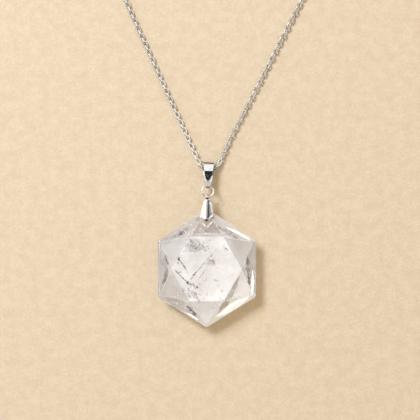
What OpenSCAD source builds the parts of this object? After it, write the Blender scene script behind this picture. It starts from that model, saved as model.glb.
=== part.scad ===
// Faceted quartz pendant on a cable chain, lying on its back.
// Origin: middle of the crystal's back table, on the surface. +Z up, +Y towards the chain.

/* [Crystal] */
// Width between the two upright sides
crystal_w = 30; // [24:1:36]
// Length of each upright side
side_len = 17.1; // [14:0.1:20]
// Rise of the top point above the upright sides
top_rise = 10; // [8:0.1:12]
// Drop of the bottom point below the upright sides
tip_drop = 9.3; // [8:0.1:12]
// Thickness from the back table to the front table
crystal_t = 9; // [7:0.1:12]
// Width of each table between its left and right corners
table_w = 21.3; // [18:0.1:23]
// Height of each table between its top and bottom edges
table_h = 19.5; // [17:0.1:21]
// Length of a table's top and bottom edges
table_edge = 10.3; // [8:0.1:12]
// Height of the upright band round the girdle
girdle_h = 0.4; // [0.3:0.1:1]
// Width of the bevel on each side of the girdle
bevel_w = 0.8; // [0.4:0.1:0.8]
// Height of the bevel on each side of the girdle
bevel_h = 0.9; // [0.8:0.1:1.2]
// Diameter of the hole drilled for the pegs
hole_d = 1.2; // [1.1:0.05:1.8]
// Distance from the top point to the middle of the hole
hole_inset = 2.75; // [2.2:0.05:3.6]

/* [Pinch bail] */
// Width of each leaf where it is widest
leaf_w = 4.35; // [3.6:0.05:5.2]
// Width of each leaf's blunt tip
leaf_tip_w = 0.3; // [0.1:0.1:0.8]
// How far each leaf reaches below the hole
leaf_past = 1.4; // [1:0.1:2]
// Thickness of a leaf at its side edges
leaf_edge_t = 0.3; // [0.2:0.05:0.5]
// Height of a leaf's middle ridge above its side edges
leaf_ridge = 0.5; // [0.2:0.05:0.8]
// Space between the leaves and the crystal's facets
leaf_gap = 0.15; // [0.1:0.05:0.3]
// Diameter of the pegs
peg_d = 1; // [0.7:0.05:1]
// Length of each peg inside the hole
peg_len = 1.3; // [0.8:0.1:1.5]
// Width of the neck that joins the leaves
neck_w = 2.1; // [1.6:0.1:2.6]
// Depth of the neck from front to back
neck_t = 1; // [0.8:0.1:1.4]
// Length of the neck between the leaves and the loop's bore
neck_len = 1; // [0.6:0.1:1.4]
// Width of the loop along its bore
loop_w = 1.2; // [0.8:0.1:1.4]
// Wall of the loop round its bore
loop_wall = 0.3; // [0.25:0.05:0.5]
// Turn of the bails to the right, seen from the front
lean = 2.3; // [0:0.1:5]

/* [Jump ring] */
// Outer diameter of the ring
ring_od = 4.2; // [3.8:0.1:5]
// Diameter of the ring's wire
ring_wire = 0.6; // [0.4:0.05:0.7]
// Angle at which the ring slopes down towards the surface
ring_drop = 14; // [8:1:20]
// Space left round the ring's wire in the two bails
ring_gap = 0.2; // [0.18:0.01:0.3]

/* [Snap bail] */
// Width of the folded strip at its wide end
snap_w = 4.1; // [3.4:0.1:5]
// Distance between the middles of its narrow and wide eyes
snap_len = 6.3; // [5:0.1:8]
// Thickness of the folded strip
strip_t = 0.35; // [0.25:0.05:0.5]
// Space left round the chain in the wide eye
chain_gap = 0.42; // [0.35:0.01:0.7]

/* [Chain] */
// Width of the chain's links
chain_w = 1.64; // [1.4:0.02:2]
// Lift of the chain above the surface where it crosses the snap bail
chain_lift = 0.75; // [0.6:0.05:0.8]

/* [Clasp] */
// Outer diameter of the clasp's ring
clasp_od = 6; // [5:0.1:7]
// Thickness of the clasp's ring
clasp_wire = 1.2; // [1:0.1:1.5]
// Outer diameter of the clasp's eye
eye_od = 2.8; // [2.6:0.1:3]
// Thickness of the eye's wire
eye_wire = 0.6; // [0.5:0.05:0.7]
// Outer diameter of the two end rings that hold the clasp
end_od = 3.4; // [3.3:0.1:3.8]
// Diameter of the end rings' wire
end_wire = 0.5; // [0.4:0.05:0.55]
// Angle at which the end rings lean
end_lean = 45; // [42:1:48]
// Space between the clasp and the wire of the end rings that it lies on
clasp_gap = 0.15; // [0.1:0.01:0.2]
// Space between each end ring and the end of the chain
end_gap = 0.3; // [0.2:0.05:0.5]

/* [Hidden] */
$fn = 48;

// Heights of the crystal's levels above the surface
mid_z = crystal_t / 2;
girdle_low = mid_z - girdle_h / 2;
girdle_high = mid_z + girdle_h / 2;
crown_low = girdle_low - bevel_h;
crown_high = girdle_high + bevel_h;

// Slopes of the outline's upper and lower sides
rise_slope = top_rise / (crystal_w / 2);
drop_slope = tip_drop / (crystal_w / 2);

// The outline's six corners, clockwise from the top, moved inwards by a distance
function outline(inset) =
  let (side = crystal_w / 2 - inset)
  let (top = side_len / 2 + top_rise - inset * sqrt(1 + rise_slope * rise_slope))
  let (bottom = side_len / 2 + tip_drop - inset * sqrt(1 + drop_slope * drop_slope))
  [
    [0, top],
    [side, top - rise_slope * side],
    [side, drop_slope * side - bottom],
    [0, -bottom],
    [-side, drop_slope * side - bottom],
    [-side, top - rise_slope * side]
  ];

// The table's six corners, clockwise from the upper right
TABLE = [
  [table_edge / 2, table_h / 2],
  [table_w / 2, 0],
  [table_edge / 2, -table_h / 2],
  [-table_edge / 2, -table_h / 2],
  [-table_w / 2, 0],
  [-table_edge / 2, table_h / 2]
];

function lift(points, z) = [for (p = points) [p[0], p[1], z]];
function turn_back(face) = [for (i = [len(face) - 1:-1:0]) face[i]];

// Levels of the crystal's corners, from the back table up to the front table
SIDES = 6;
BACK_TABLE = 0;
BACK_CROWN = 1;
LOW_GIRDLE = 2;
HIGH_GIRDLE = 3;
FRONT_CROWN = 4;
FRONT_TABLE = 5;
function corner(level, k) = level * SIDES + (k + SIDES) % SIDES;

// Three-sided facets between a table and the ring of corners beside it, seen from the front
function facets(table, crown) = [
  for (k = [0:SIDES - 1])
    each [
      [corner(crown, k), corner(table, k), corner(table, k - 1)],
      [corner(crown, k), corner(crown, k + 1), corner(table, k)]
    ]
];

// Four-sided faces between an upper and a lower ring of corners
function band(upper, lower) = [
  for (k = [0:SIDES - 1])
    [corner(upper, k), corner(lower, k), corner(lower, k + 1), corner(upper, k + 1)]
];

// The hole and the hang line that the bails follow from it
crown_top = outline(bevel_w)[0][1];
hole_y = side_len / 2 + top_rise - hole_inset;
facet_slope = (crystal_t - crown_high) / (crown_top - table_h / 2);
facet_deg = atan(facet_slope);

// Height of the leaves' inner faces above the middle of the crystal, at the hole
leaf_z = crown_high - mid_z + (crown_top - hole_y) * facet_slope + leaf_gap / cos(facet_deg);
meet_y = leaf_z / facet_slope;
leaf_len = (meet_y + leaf_past) / cos(facet_deg);

// How far a bar that is cut to an outline runs past it
SPARE = 0.3;

// How far inside the neck's sides the leaves start
NECK_RIM = 0.05;
leaf_start = neck_w / 2 - NECK_RIM;

// A leaf's outline from the neck to its tip. Each row is a share of its length and of the way
// from its half width at the neck to its widest half.
LEAF = [
  [0, 0],
  [0.34, 0.61],
  [0.59, 0.87],
  [0.75, 1]
];
leaf_rows = [
  for (r = LEAF) [r[0] * leaf_len, leaf_start + r[1] * (leaf_w / 2 - leaf_start)],
  [leaf_len, leaf_tip_w / 2]
];

// The ring, from its wire in the pinch bail's loop to its wire in the snap bail. Its arc bows
// inside the loop by ring_bow, which the bore makes room for.
ring_r = (ring_od - ring_wire) / 2;
ring_bow = ring_r - sqrt(ring_r * ring_r - loop_w * loop_w / 4);
loop_bore = ring_wire + 2 * (ring_gap / 2 + ring_bow);
loop_y = meet_y + neck_len + loop_bore / 2;
ring_far_y = loop_y + 2 * ring_r * cos(ring_drop);
ring_far_z = mid_z - 2 * ring_r * sin(ring_drop);

// The snap bail's eyes. Its wide end rests on the surface.
narrow_in = ring_wire / 2 + ring_gap + ring_bow;
narrow_out = narrow_in + strip_t;
TUBE_SIDES = 8;
tube_r = chain_w / 2 / cos(180 / TUBE_SIDES);
wide_in = tube_r + chain_gap;
wide_out = wide_in + strip_t;
snap_drop = asin((ring_far_z - wide_out) / snap_len);
wide_y = ring_far_y + snap_len * cos(snap_drop);

// Flats that make up the strip's bends
WIDE_STEPS = 32;
NARROW_STEPS = 16;

// The snap bail's outline from its narrow end. Each row is a share of its whole length and of
// its widest half.
STRIP = [
  [0, 0.26],
  [0.06, 0.38],
  [0.14, 0.48],
  [0.55, 0.8],
  [1, 1]
];
strip_len = narrow_out + snap_len + wide_out;
strip_rows = [for (r = STRIP) [r[0] * strip_len, r[1] * snap_w / 2]];

// Where the middle of the snap bail's wide eye lies, seen from above
eye_at = [wide_y * sin(lean), hole_y + wide_y * cos(lean)];

// Where the middle of the clasp's ring lies, to the right of and above the wide eye
CLASP_AT = [3, 178.5];

// Middle line of the chain, from the clasp's ring round to the clasp's eye. Each row is right
// of the wide eye, above it, and a share of the lift from the surface.
ROUTE = [
  [-4, 178.4, 0.3],
  [-8.5, 177.5, 0.06],
  [-19.5, 174, 0],
  [-29.5, 168, 0],
  [-38, 160.5, 0],
  [-45, 151, 0],
  [-49.5, 140.5, 0],
  [-52, 129, 0],
  [-52, 117, 0],
  [-50, 106, 0],
  [-45.5, 95.5, 0],
  [-38, 78.5, 0],
  [-30, 61, 0],
  [-22.2, 43.5, 0],
  [-15, 27.5, 0],
  [-9.3, 15, 0],
  [-6.3, 8.4, 0],
  [-4.2, 3.8, 0.4],
  [-3.1, 1.3, 0.8],
  [-2.1, 0, 0.95],
  [-1, -0.3, 1],
  [0, -0.35, 1],
  [1, -0.35, 1],
  [2.1, -0.2, 0.95],
  [3.1, 1, 0.8],
  [4.2, 3.5, 0.4],
  [6.5, 8.2, 0],
  [9.8, 14.6, 0],
  [16.2, 27, 0],
  [24.4, 43, 0],
  [32.7, 59, 0],
  [41, 75.2, 0],
  [49.5, 92, 0],
  [55.5, 105, 0],
  [58.4, 117, 0],
  [58.4, 129, 0],
  [56, 140.5, 0],
  [51, 151, 0],
  [44.5, 160.5, 0],
  [36, 168, 0],
  [25.5, 174, 0],
  [16, 177, 0.06],
  [12.8, 178.2, 0.3]
];

// The clasp's ring and eye, which lie over the end rings' wire
clasp_r = (clasp_od - clasp_wire) / 2;
eye_r = (eye_od - eye_wire) / 2;
eye_x = clasp_od / 2 + eye_r;
clasp_z = end_wire + clasp_gap + clasp_wire / 2;

// The end rings lean on the surface. The middle of the left one lies in the clasp's ring, and the
// wire of the right one goes through the middle of the clasp's eye.
end_r = (end_od - end_wire) / 2;
end_z = end_r * sin(end_lean) + end_wire / 2;
left_x = -clasp_r;
right_x = eye_x + end_r;

// The chain's two ends, beside the end rings and as high as their middles
end_share = (end_z - chain_w / 2) / chain_lift;
LEFT_END = [CLASP_AT[0] + left_x - end_od / 2 - end_gap, CLASP_AT[1], end_share];
RIGHT_END = [CLASP_AT[0] + right_x + end_od / 2 + end_gap, CLASP_AT[1], end_share];
PATH = [
  for (p = [LEFT_END, each ROUTE, RIGHT_END])
    [eye_at[0] + p[0], eye_at[1] + p[1], chain_w / 2 + p[2] * chain_lift]
];

// Smooth curve through the path, with rings about this far apart
RING_PITCH = 6.3;
LAST = len(PATH) - 1;
function path_slope(i) = (PATH[min(i + 1, LAST)] - PATH[max(i - 1, 0)]) / 2;
function path_curve(i, t) =
  let (t2 = t * t)
  let (t3 = t2 * t)
  (2 * t3 - 3 * t2 + 1) * PATH[i] + (t3 - 2 * t2 + t) * path_slope(i)
    + (3 * t2 - 2 * t3) * PATH[i + 1] + (t3 - t2) * path_slope(i + 1);
function ring_count(i) = max(1, round(norm(PATH[i + 1] - PATH[i]) / RING_PITCH));
CENTRES = [
  for (i = [0:LAST - 1])
    each [for (k = [0:ring_count(i) - 1]) path_curve(i, k / ring_count(i))],
  PATH[LAST]
];

// Ring of corners square to the curve, with flat sides below and above
function tube_ring(c) =
  let (ahead = CENTRES[min(c + 1, len(CENTRES) - 1)] - CENTRES[max(c - 1, 0)])
  let (along = ahead / norm(ahead))
  let (across = cross(along, [0, 0, 1]))
  let (side = across / norm(across))
  let (up = cross(side, along))
  [
    for (s = [0:TUBE_SIDES - 1])
      let (turn = (s + 0.5) * 360 / TUBE_SIDES)
      CENTRES[c] + tube_r * (cos(turn) * side + sin(turn) * up)
  ];

// Points along an arc about a place on the X axis
function arc(radius, centre, from, to, steps) = [
  for (i = [0:steps])
    let (a = from + (to - from) * i / steps)
    [centre + radius * cos(a), radius * sin(a)]
];

// Closed outline from rows of a distance along the Y axis and a half width about it
function both_sides(rows) = [
  for (r = rows) [r[1], r[0]],
  for (i = [len(rows) - 1:-1:0]) [-rows[i][1], rows[i][0]]
];

module crystal() {
  rings = [
    each lift(TABLE, 0),
    each lift(outline(bevel_w), crown_low),
    each lift(outline(0), girdle_low),
    each lift(outline(0), girdle_high),
    each lift(outline(bevel_w), crown_high),
    each lift(TABLE, crystal_t)
  ];
  faces = [
    [for (k = [0:SIDES - 1]) corner(FRONT_TABLE, k)],
    each facets(FRONT_TABLE, FRONT_CROWN),
    each band(FRONT_CROWN, HIGH_GIRDLE),
    each band(HIGH_GIRDLE, LOW_GIRDLE),
    each band(LOW_GIRDLE, BACK_CROWN),
    each [for (f = facets(BACK_TABLE, BACK_CROWN)) turn_back(f)],
    turn_back([for (k = [0:SIDES - 1]) corner(BACK_TABLE, k)])
  ];
  color([0.9, 0.88, 0.87])
    difference() {
      polyhedron(rings, faces);
      translate([0, hole_y, 0])
        cylinder(d = hole_d, h = 3 * crystal_t, center = true);
    }
}

// Places its children on the hang line, from the hole at the middle of the crystal
module hung() {
  translate([0, hole_y, mid_z])
    rotate([0, 0, -lean])
      children();
}

// One leaf, lying along -Y from the neck with its inner face at z = 0. The outline is cut from a
// longer and wider ridged bar.
module leaf() {
  ridge_z = leaf_edge_t + leaf_ridge;
  fall = leaf_ridge * SPARE / (leaf_w / 2);
  intersection() {
    mirror([0, 1, 0])
      translate([0, 0, -SPARE])
        linear_extrude(ridge_z + 2 * SPARE)
          polygon(both_sides(leaf_rows));
    translate([0, SPARE, 0])
      rotate([90, 0, 0])
        linear_extrude(leaf_len + 2 * SPARE)
          polygon([
            [-leaf_w / 2 - SPARE, 0],
            [leaf_w / 2 + SPARE, 0],
            [leaf_w / 2 + SPARE, leaf_edge_t - fall],
            [0, ridge_z],
            [-leaf_w / 2 - SPARE, leaf_edge_t - fall]
          ]);
  }
}

// The front half: a leaf that lies along the crystal's facet, and its peg
module leaf_and_peg() {
  translate([0, meet_y, 0])
    rotate([-facet_deg, 0, 0])
      leaf();
  translate([0, 0, leaf_z - leaf_gap - peg_len])
    cylinder(d = peg_d, h = peg_len + leaf_gap + leaf_edge_t);
}

module pinch_bail() {
  neck_low = meet_y - neck_t / 2;
  neck_high = meet_y + neck_len - loop_wall / 2;
  color([0.8, 0.8, 0.81])
    hung()
      difference() {
        union() {
          leaf_and_peg();
          mirror([0, 0, 1])
            leaf_and_peg();
          translate([-neck_w / 2, neck_low, -neck_t / 2])
            cube([neck_w, neck_high - neck_low, neck_t]);
          translate([0, loop_y, 0])
            rotate([0, 90, 0])
              cylinder(d = loop_bore + 2 * loop_wall, h = loop_w, center = true);
        }
        translate([0, loop_y, 0])
          rotate([0, 90, 0])
            cylinder(d = loop_bore, h = 2 * neck_w, center = true);
      }
}

// Round wire bent to a ring about the Z axis
module wire_ring(radius, wire) {
  rotate_extrude()
    translate([radius, 0])
      circle(d = wire);
}

module jump_ring() {
  color([0.78, 0.78, 0.79])
    hung()
      translate([0, loop_y, 0])
        rotate([-ring_drop, 0, 0])
          translate([0, ring_r, 0])
            wire_ring(ring_r, ring_wire);
}

// Side view of the folded strip's inner or outer face: two arcs and the tangents that join them
module teardrop(small, large) {
  turn = 90 + asin((large - small) / snap_len);
  polygon([
    each arc(large, snap_len, -turn, turn, WIDE_STEPS),
    each arc(small, 0, turn, 360 - turn, NARROW_STEPS)
  ]);
}

module snap_bail() {
  color([0.8, 0.8, 0.81])
    hung()
      translate([0, ring_far_y, ring_far_z - mid_z])
        rotate([-snap_drop, 0, 0])
          intersection() {
            rotate([90, 0, 90])
              linear_extrude(2 * snap_w, center = true)
                difference() {
                  teardrop(narrow_out, wide_out);
                  teardrop(narrow_in, wide_in);
                }
            translate([0, -narrow_out, 0])
              linear_extrude(4 * wide_out, center = true)
                polygon(both_sides(strip_rows));
          }
}

module chain() {
  rings = len(CENTRES);
  points = [for (c = [0:rings - 1]) each tube_ring(c)];
  walls = [
    for (c = [0:rings - 2])
      for (s = [0:TUBE_SIDES - 1])
        let (next = (s + 1) % TUBE_SIDES)
        [
          c * TUBE_SIDES + s,
          c * TUBE_SIDES + next,
          (c + 1) * TUBE_SIDES + next,
          (c + 1) * TUBE_SIDES + s
        ]
  ];
  start = [for (s = [TUBE_SIDES - 1:-1:0]) s];
  end = [for (s = [0:TUBE_SIDES - 1]) (rings - 1) * TUBE_SIDES + s];
  color([0.74, 0.74, 0.75])
    polyhedron(points, [start, each walls, end]);
}

// Places its children on the clasp's line, seen from above
module at_clasp(x, z) {
  translate([eye_at[0] + CLASP_AT[0] + x, eye_at[1] + CLASP_AT[1], z])
    children();
}

module end_ring(x) {
  color([0.78, 0.78, 0.79])
    at_clasp(x, end_z)
      rotate([end_lean, 0, 0])
        wire_ring(end_r, end_wire);
}

module clasp() {
  color([0.8, 0.8, 0.81]) {
    at_clasp(0, clasp_z)
      wire_ring(clasp_r, clasp_wire);
    at_clasp(eye_x, clasp_z)
      wire_ring(eye_r, eye_wire);
  }
}

crystal();
pinch_bail();
jump_ring();
snap_bail();
chain();
end_ring(left_x);  // left_end_ring
end_ring(right_x);  // right_end_ring
clasp();
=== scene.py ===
"""Looks of a faceted quartz pendant on a cable chain, lying on its back on a pale floor."""

import logging
import math
import random
from contextlib import contextmanager
from dataclasses import dataclass, field
from enum import Enum
from typing import Any, Callable, Iterator, Mapping, Sequence

import bmesh
import bpy
from mathutils import Matrix, Vector, noise


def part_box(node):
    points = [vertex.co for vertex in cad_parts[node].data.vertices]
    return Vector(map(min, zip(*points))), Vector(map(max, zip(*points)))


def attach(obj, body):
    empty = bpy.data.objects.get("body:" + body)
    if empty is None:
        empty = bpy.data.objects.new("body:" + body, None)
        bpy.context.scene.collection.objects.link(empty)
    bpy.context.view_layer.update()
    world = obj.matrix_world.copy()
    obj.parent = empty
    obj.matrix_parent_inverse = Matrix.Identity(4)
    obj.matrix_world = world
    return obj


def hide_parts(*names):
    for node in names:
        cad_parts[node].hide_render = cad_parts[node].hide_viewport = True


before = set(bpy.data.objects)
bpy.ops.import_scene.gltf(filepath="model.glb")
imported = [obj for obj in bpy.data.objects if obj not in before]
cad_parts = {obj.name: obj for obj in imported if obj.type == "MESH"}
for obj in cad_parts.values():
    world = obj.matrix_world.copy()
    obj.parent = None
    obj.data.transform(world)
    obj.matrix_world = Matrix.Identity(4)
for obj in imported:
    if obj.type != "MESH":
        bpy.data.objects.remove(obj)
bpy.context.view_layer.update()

log = logging.getLogger("pendant")

# Pieces are shaped in millimetres and settled in metres
MM = 0.001
# Millimetres within which a place lies on a cut, and within which corners are merged
ON_CUT = 1e-5
MERGED = 1e-3
Z_AXIS = Vector((0, 0, 1))

Points = Sequence[Vector]
Sheet = Sequence[Points]
Table = Sequence[tuple[float, ...]]
Spot = tuple[float, float]
Place = tuple[float, float, float]
Colour = tuple[float, float, float]


class Slot(Enum):
    """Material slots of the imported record."""

    QUARTZ = "quartz"
    POLISHED = "polished_silver"
    CHAIN = "chain_silver"


# Modelling steps that the pieces share


def node_box(node: str) -> tuple[Vector, Vector]:
    """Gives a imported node's lowest and highest corners in millimetres.

    Args:
        node: Name of the node.

    Returns:
        Its lowest and its highest corner.
    """
    low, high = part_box(node)
    return low / MM, high / MM


def pick(piece: bpy.types.Object) -> None:
    """Makes one object the only one that is selected, and the active one.

    Args:
        piece: The object.
    """
    bpy.ops.object.select_all(action="DESELECT")
    piece.select_set(True)
    bpy.context.view_layer.objects.active = piece


@contextmanager
def editing(piece: bpy.types.Object) -> Iterator[bmesh.types.BMesh]:
    """Opens one piece in edit mode with nothing selected, and closes it afterwards.

    Args:
        piece: The piece.

    Yields:
        Its mesh.
    """
    pick(piece)
    bpy.ops.object.mode_set(mode="EDIT")
    bpy.ops.mesh.select_all(action="DESELECT")
    yield bmesh.from_edit_mesh(piece.data)
    bpy.ops.object.mode_set(mode="OBJECT")


def select_where(mesh: bmesh.types.BMesh, test: Callable[[Vector], bool]) -> None:
    """Selects the corners whose place passes a test, with the edges and faces between them.

    Args:
        mesh: A mesh that is open in edit mode.
        test: The test of a corner's place.
    """
    bpy.ops.mesh.select_all(action="DESELECT")
    for corner in mesh.verts:
        corner.select = test(corner.co)
    mesh.select_flush(True)


def finish_with(piece: bpy.types.Object, kind: str, **settings: object) -> None:
    """Adds a modifier, sets it and applies it.

    Args:
        piece: The object that gets it.
        kind: Type of the modifier.
        **settings: Its settings.
    """
    pick(piece)
    modifier = piece.modifiers.new(kind.lower(), kind)
    for name, value in settings.items():
        setattr(modifier, name, value)
    bpy.ops.object.modifier_apply(modifier=modifier.name)


def break_edges(piece: bpy.types.Object, width: float, degrees: float) -> None:
    """Rounds a piece's edges that are sharper than an angle, to a width in millimetres."""
    finish_with(piece, "BEVEL", width=width, segments=2, angle_limit=math.radians(degrees))


class Merge(Enum):
    """What a closed piece does to another that it runs into."""

    ADD = "UNION"
    CUT = "DIFFERENCE"


def merge(piece: bpy.types.Object, tool: bpy.types.Object, way: Merge) -> None:
    """Adds a closed piece to another or cuts it out, and removes it."""
    finish_with(piece, "BOOLEAN", object=tool, operation=way.value, solver="EXACT")
    bpy.data.objects.remove(tool)


def smooth(piece: bpy.types.Object, degrees: float = 30) -> None:
    """Shades a piece smooth, apart from edges sharper than an angle."""
    pick(piece)
    bpy.ops.object.shade_smooth_by_angle(angle=math.radians(degrees))


def join(name: str, parts: Sequence[bpy.types.Object]) -> bpy.types.Object:
    """Joins objects into one.

    Args:
        name: Name of the joined object.
        parts: The objects, the first of which takes in the others.

    Returns:
        The joined object.
    """
    pick(parts[0])
    for part in parts:
        part.select_set(True)
    bpy.ops.object.join()
    bpy.ops.object.transform_apply(location=True, rotation=True, scale=True)
    parts[0].name = parts[0].data.name = name
    return parts[0]


def settle(piece: bpy.types.Object, place: Matrix = Matrix.Identity(4)) -> bpy.types.Object:
    """Brings a piece from millimetres to its place in metres, with its object at the origin.

    Args:
        piece: The piece, shaped in millimetres.
        place: Where it goes, in millimetres.

    Returns:
        The same piece.
    """
    piece.matrix_world = Matrix.Scale(MM, 4) @ place
    pick(piece)
    bpy.ops.object.transform_apply(location=True, rotation=True, scale=True)
    return piece


def wall_between(name: str, outer: Sheet, inner: Sheet) -> bpy.types.Object:
    """Makes a closed wall between two sheets of points that have as many rows and columns.

    Args:
        name: Name of the new object.
        outer: Rows of points of the outer face.
        inner: Rows of points of the inner face.

    Returns:
        The wall, with its faces pointing outwards.
    """
    bpy.ops.mesh.primitive_grid_add(
        x_subdivisions=len(outer[0]) - 1, y_subdivisions=len(outer) - 1, size=1
    )
    piece = bpy.context.object
    piece.name = piece.data.name = name
    with editing(piece) as mesh:
        mesh.verts.ensure_lookup_table()
        places = [place for row in outer for place in row]
        under = [place for row in inner for place in row]
        for corner, place in zip(mesh.verts, places):
            corner.co = place
        bpy.ops.mesh.select_all(action="SELECT")
        bpy.ops.mesh.extrude_region_move()
        moved = sorted((c for c in mesh.verts if c.select), key=lambda c: c.index)
        for corner, place in zip(moved, under):
            corner.co = place
        bpy.ops.mesh.select_all(action="SELECT")
        bpy.ops.mesh.normals_make_consistent(inside=False)
        if mesh.calc_volume(signed=True) < 0:
            bpy.ops.mesh.flip_normals()
    return piece


def cos_deg(angle: float) -> float:
    """Cosine of an angle in degrees."""
    return math.cos(math.radians(angle))


def sin_deg(angle: float) -> float:
    """Sine of an angle in degrees."""
    return math.sin(math.radians(angle))


def mix(start: float, end: float, share: float) -> float:
    """Gives the value at a share of the way from start to end."""
    return start + (end - start) * share


def stretch(rows: Table, at: float) -> tuple[int, float]:
    """Finds the two rows of a table that a value of its first column lies between.

    Args:
        rows: Rows in rising order of their first column.
        at: The value.

    Returns:
        The number of the lower row and the share of the way to the next.
    """
    at = min(max(at, rows[0][0]), rows[-1][0])
    i = max(k for k in range(len(rows) - 1) if rows[k][0] <= at)
    return i, (at - rows[i][0]) / (rows[i + 1][0] - rows[i][0])


def straight(rows: Table, at: float) -> list[float]:
    """Reads a table's other columns at a value of its first, along straight lines."""
    i, share = stretch(rows, at)
    return [mix(low, high, share) for low, high in zip(rows[i][1:], rows[i + 1][1:])]


def along(rows: Table, at: float) -> list[float]:
    """Reads a table's other columns at a value of its first, along smooth curves.

    Args:
        rows: Rows in rising order of their first column.
        at: The value to read it at.

    Returns:
        The other columns' values there.
    """
    i, t = stretch(rows, at)
    last = len(rows) - 1
    span = rows[i + 1][0] - rows[i][0]
    read = []
    for column in range(1, len(rows[0])):
        ends = []
        for k in (i, i + 1):
            before, after = rows[max(k - 1, 0)], rows[min(k + 1, last)]
            ends.append((after[column] - before[column]) / (after[0] - before[0]) * span)
        low, high = rows[i][column], rows[i + 1][column]
        curve = hermite(low, high, ends[0], ends[1], t)
        read.append(min(max(curve, min(low, high)), max(low, high)))
    return read


def hermite(low: Any, high: Any, slope: Any, end_slope: Any, t: float) -> Any:
    """Gives the place at a share of the way along a cubic between two numbers or vectors.

    Args:
        low: Where the cubic begins.
        high: Where it ends.
        slope: How far its start alone would carry it by the end.
        end_slope: How far its end alone would have carried it from the start.
        t: The share of the way.

    Returns:
        The number or the vector there.
    """
    t2, t3 = t * t, t * t * t
    return (
        low * (2 * t3 - 3 * t2 + 1)
        + slope * (t3 - 2 * t2 + t)
        + high * (3 * t2 - 2 * t3)
        + end_slope * (t3 - t2)
    )


# Materials

PRINCIPLED = "ShaderNodeBsdfPrincipled"

# Sockets of a Mix node that take its two colours, and the one that gives the blend
MIX_COLOURS = (6, 7)
MIX_BLEND = 2

# Face attribute of the stone: share of its milkiness
MILKY = "milky"


class Wire:
    """A node's output, with the arithmetic that adds Math nodes."""

    def __init__(self, desk: "Desk", source: bpy.types.NodeSocket | None) -> None:
        """Keeps the desk that the nodes are on and what the wire carries."""
        self.desk = desk
        self.source = source

    def _math(self, operation: str, *values: "Wire | float") -> "Wire":
        """Adds one Math node."""
        inputs = dict(enumerate(values))
        return self.desk.node("ShaderNodeMath", {"operation": operation}, inputs)

    def __add__(self, other: "Wire | float") -> "Wire":
        """self + other."""
        return self._math("ADD", self, other)

    def __radd__(self, other: float) -> "Wire":
        """other + self."""
        return self._math("ADD", other, self)

    def __sub__(self, other: "Wire | float") -> "Wire":
        """self - other."""
        return self._math("SUBTRACT", self, other)

    def __rsub__(self, other: float) -> "Wire":
        """other - self."""
        return self._math("SUBTRACT", other, self)

    def __mul__(self, other: "Wire | float") -> "Wire":
        """self * other."""
        return self._math("MULTIPLY", self, other)

    def __rmul__(self, other: float) -> "Wire":
        """other * self."""
        return self._math("MULTIPLY", other, self)

    def __pow__(self, other: float) -> "Wire":
        """self ** other."""
        return self._math("POWER", self, other)

    def clipped(self) -> "Wire":
        """Keeps the value between 0 and 1."""
        settings = {"operation": "ADD", "use_clamp": True}
        return self.desk.node("ShaderNodeMath", settings, {0: self, 1: 0.0})


@dataclass(frozen=True)
class Grain:
    """Soft noise, with about so many patches in a metre, and where it rises to a full patch."""

    scale: float
    detail: float
    low: float = 0.0
    high: float = 1.0
    roughness: float = 0.5


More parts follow.
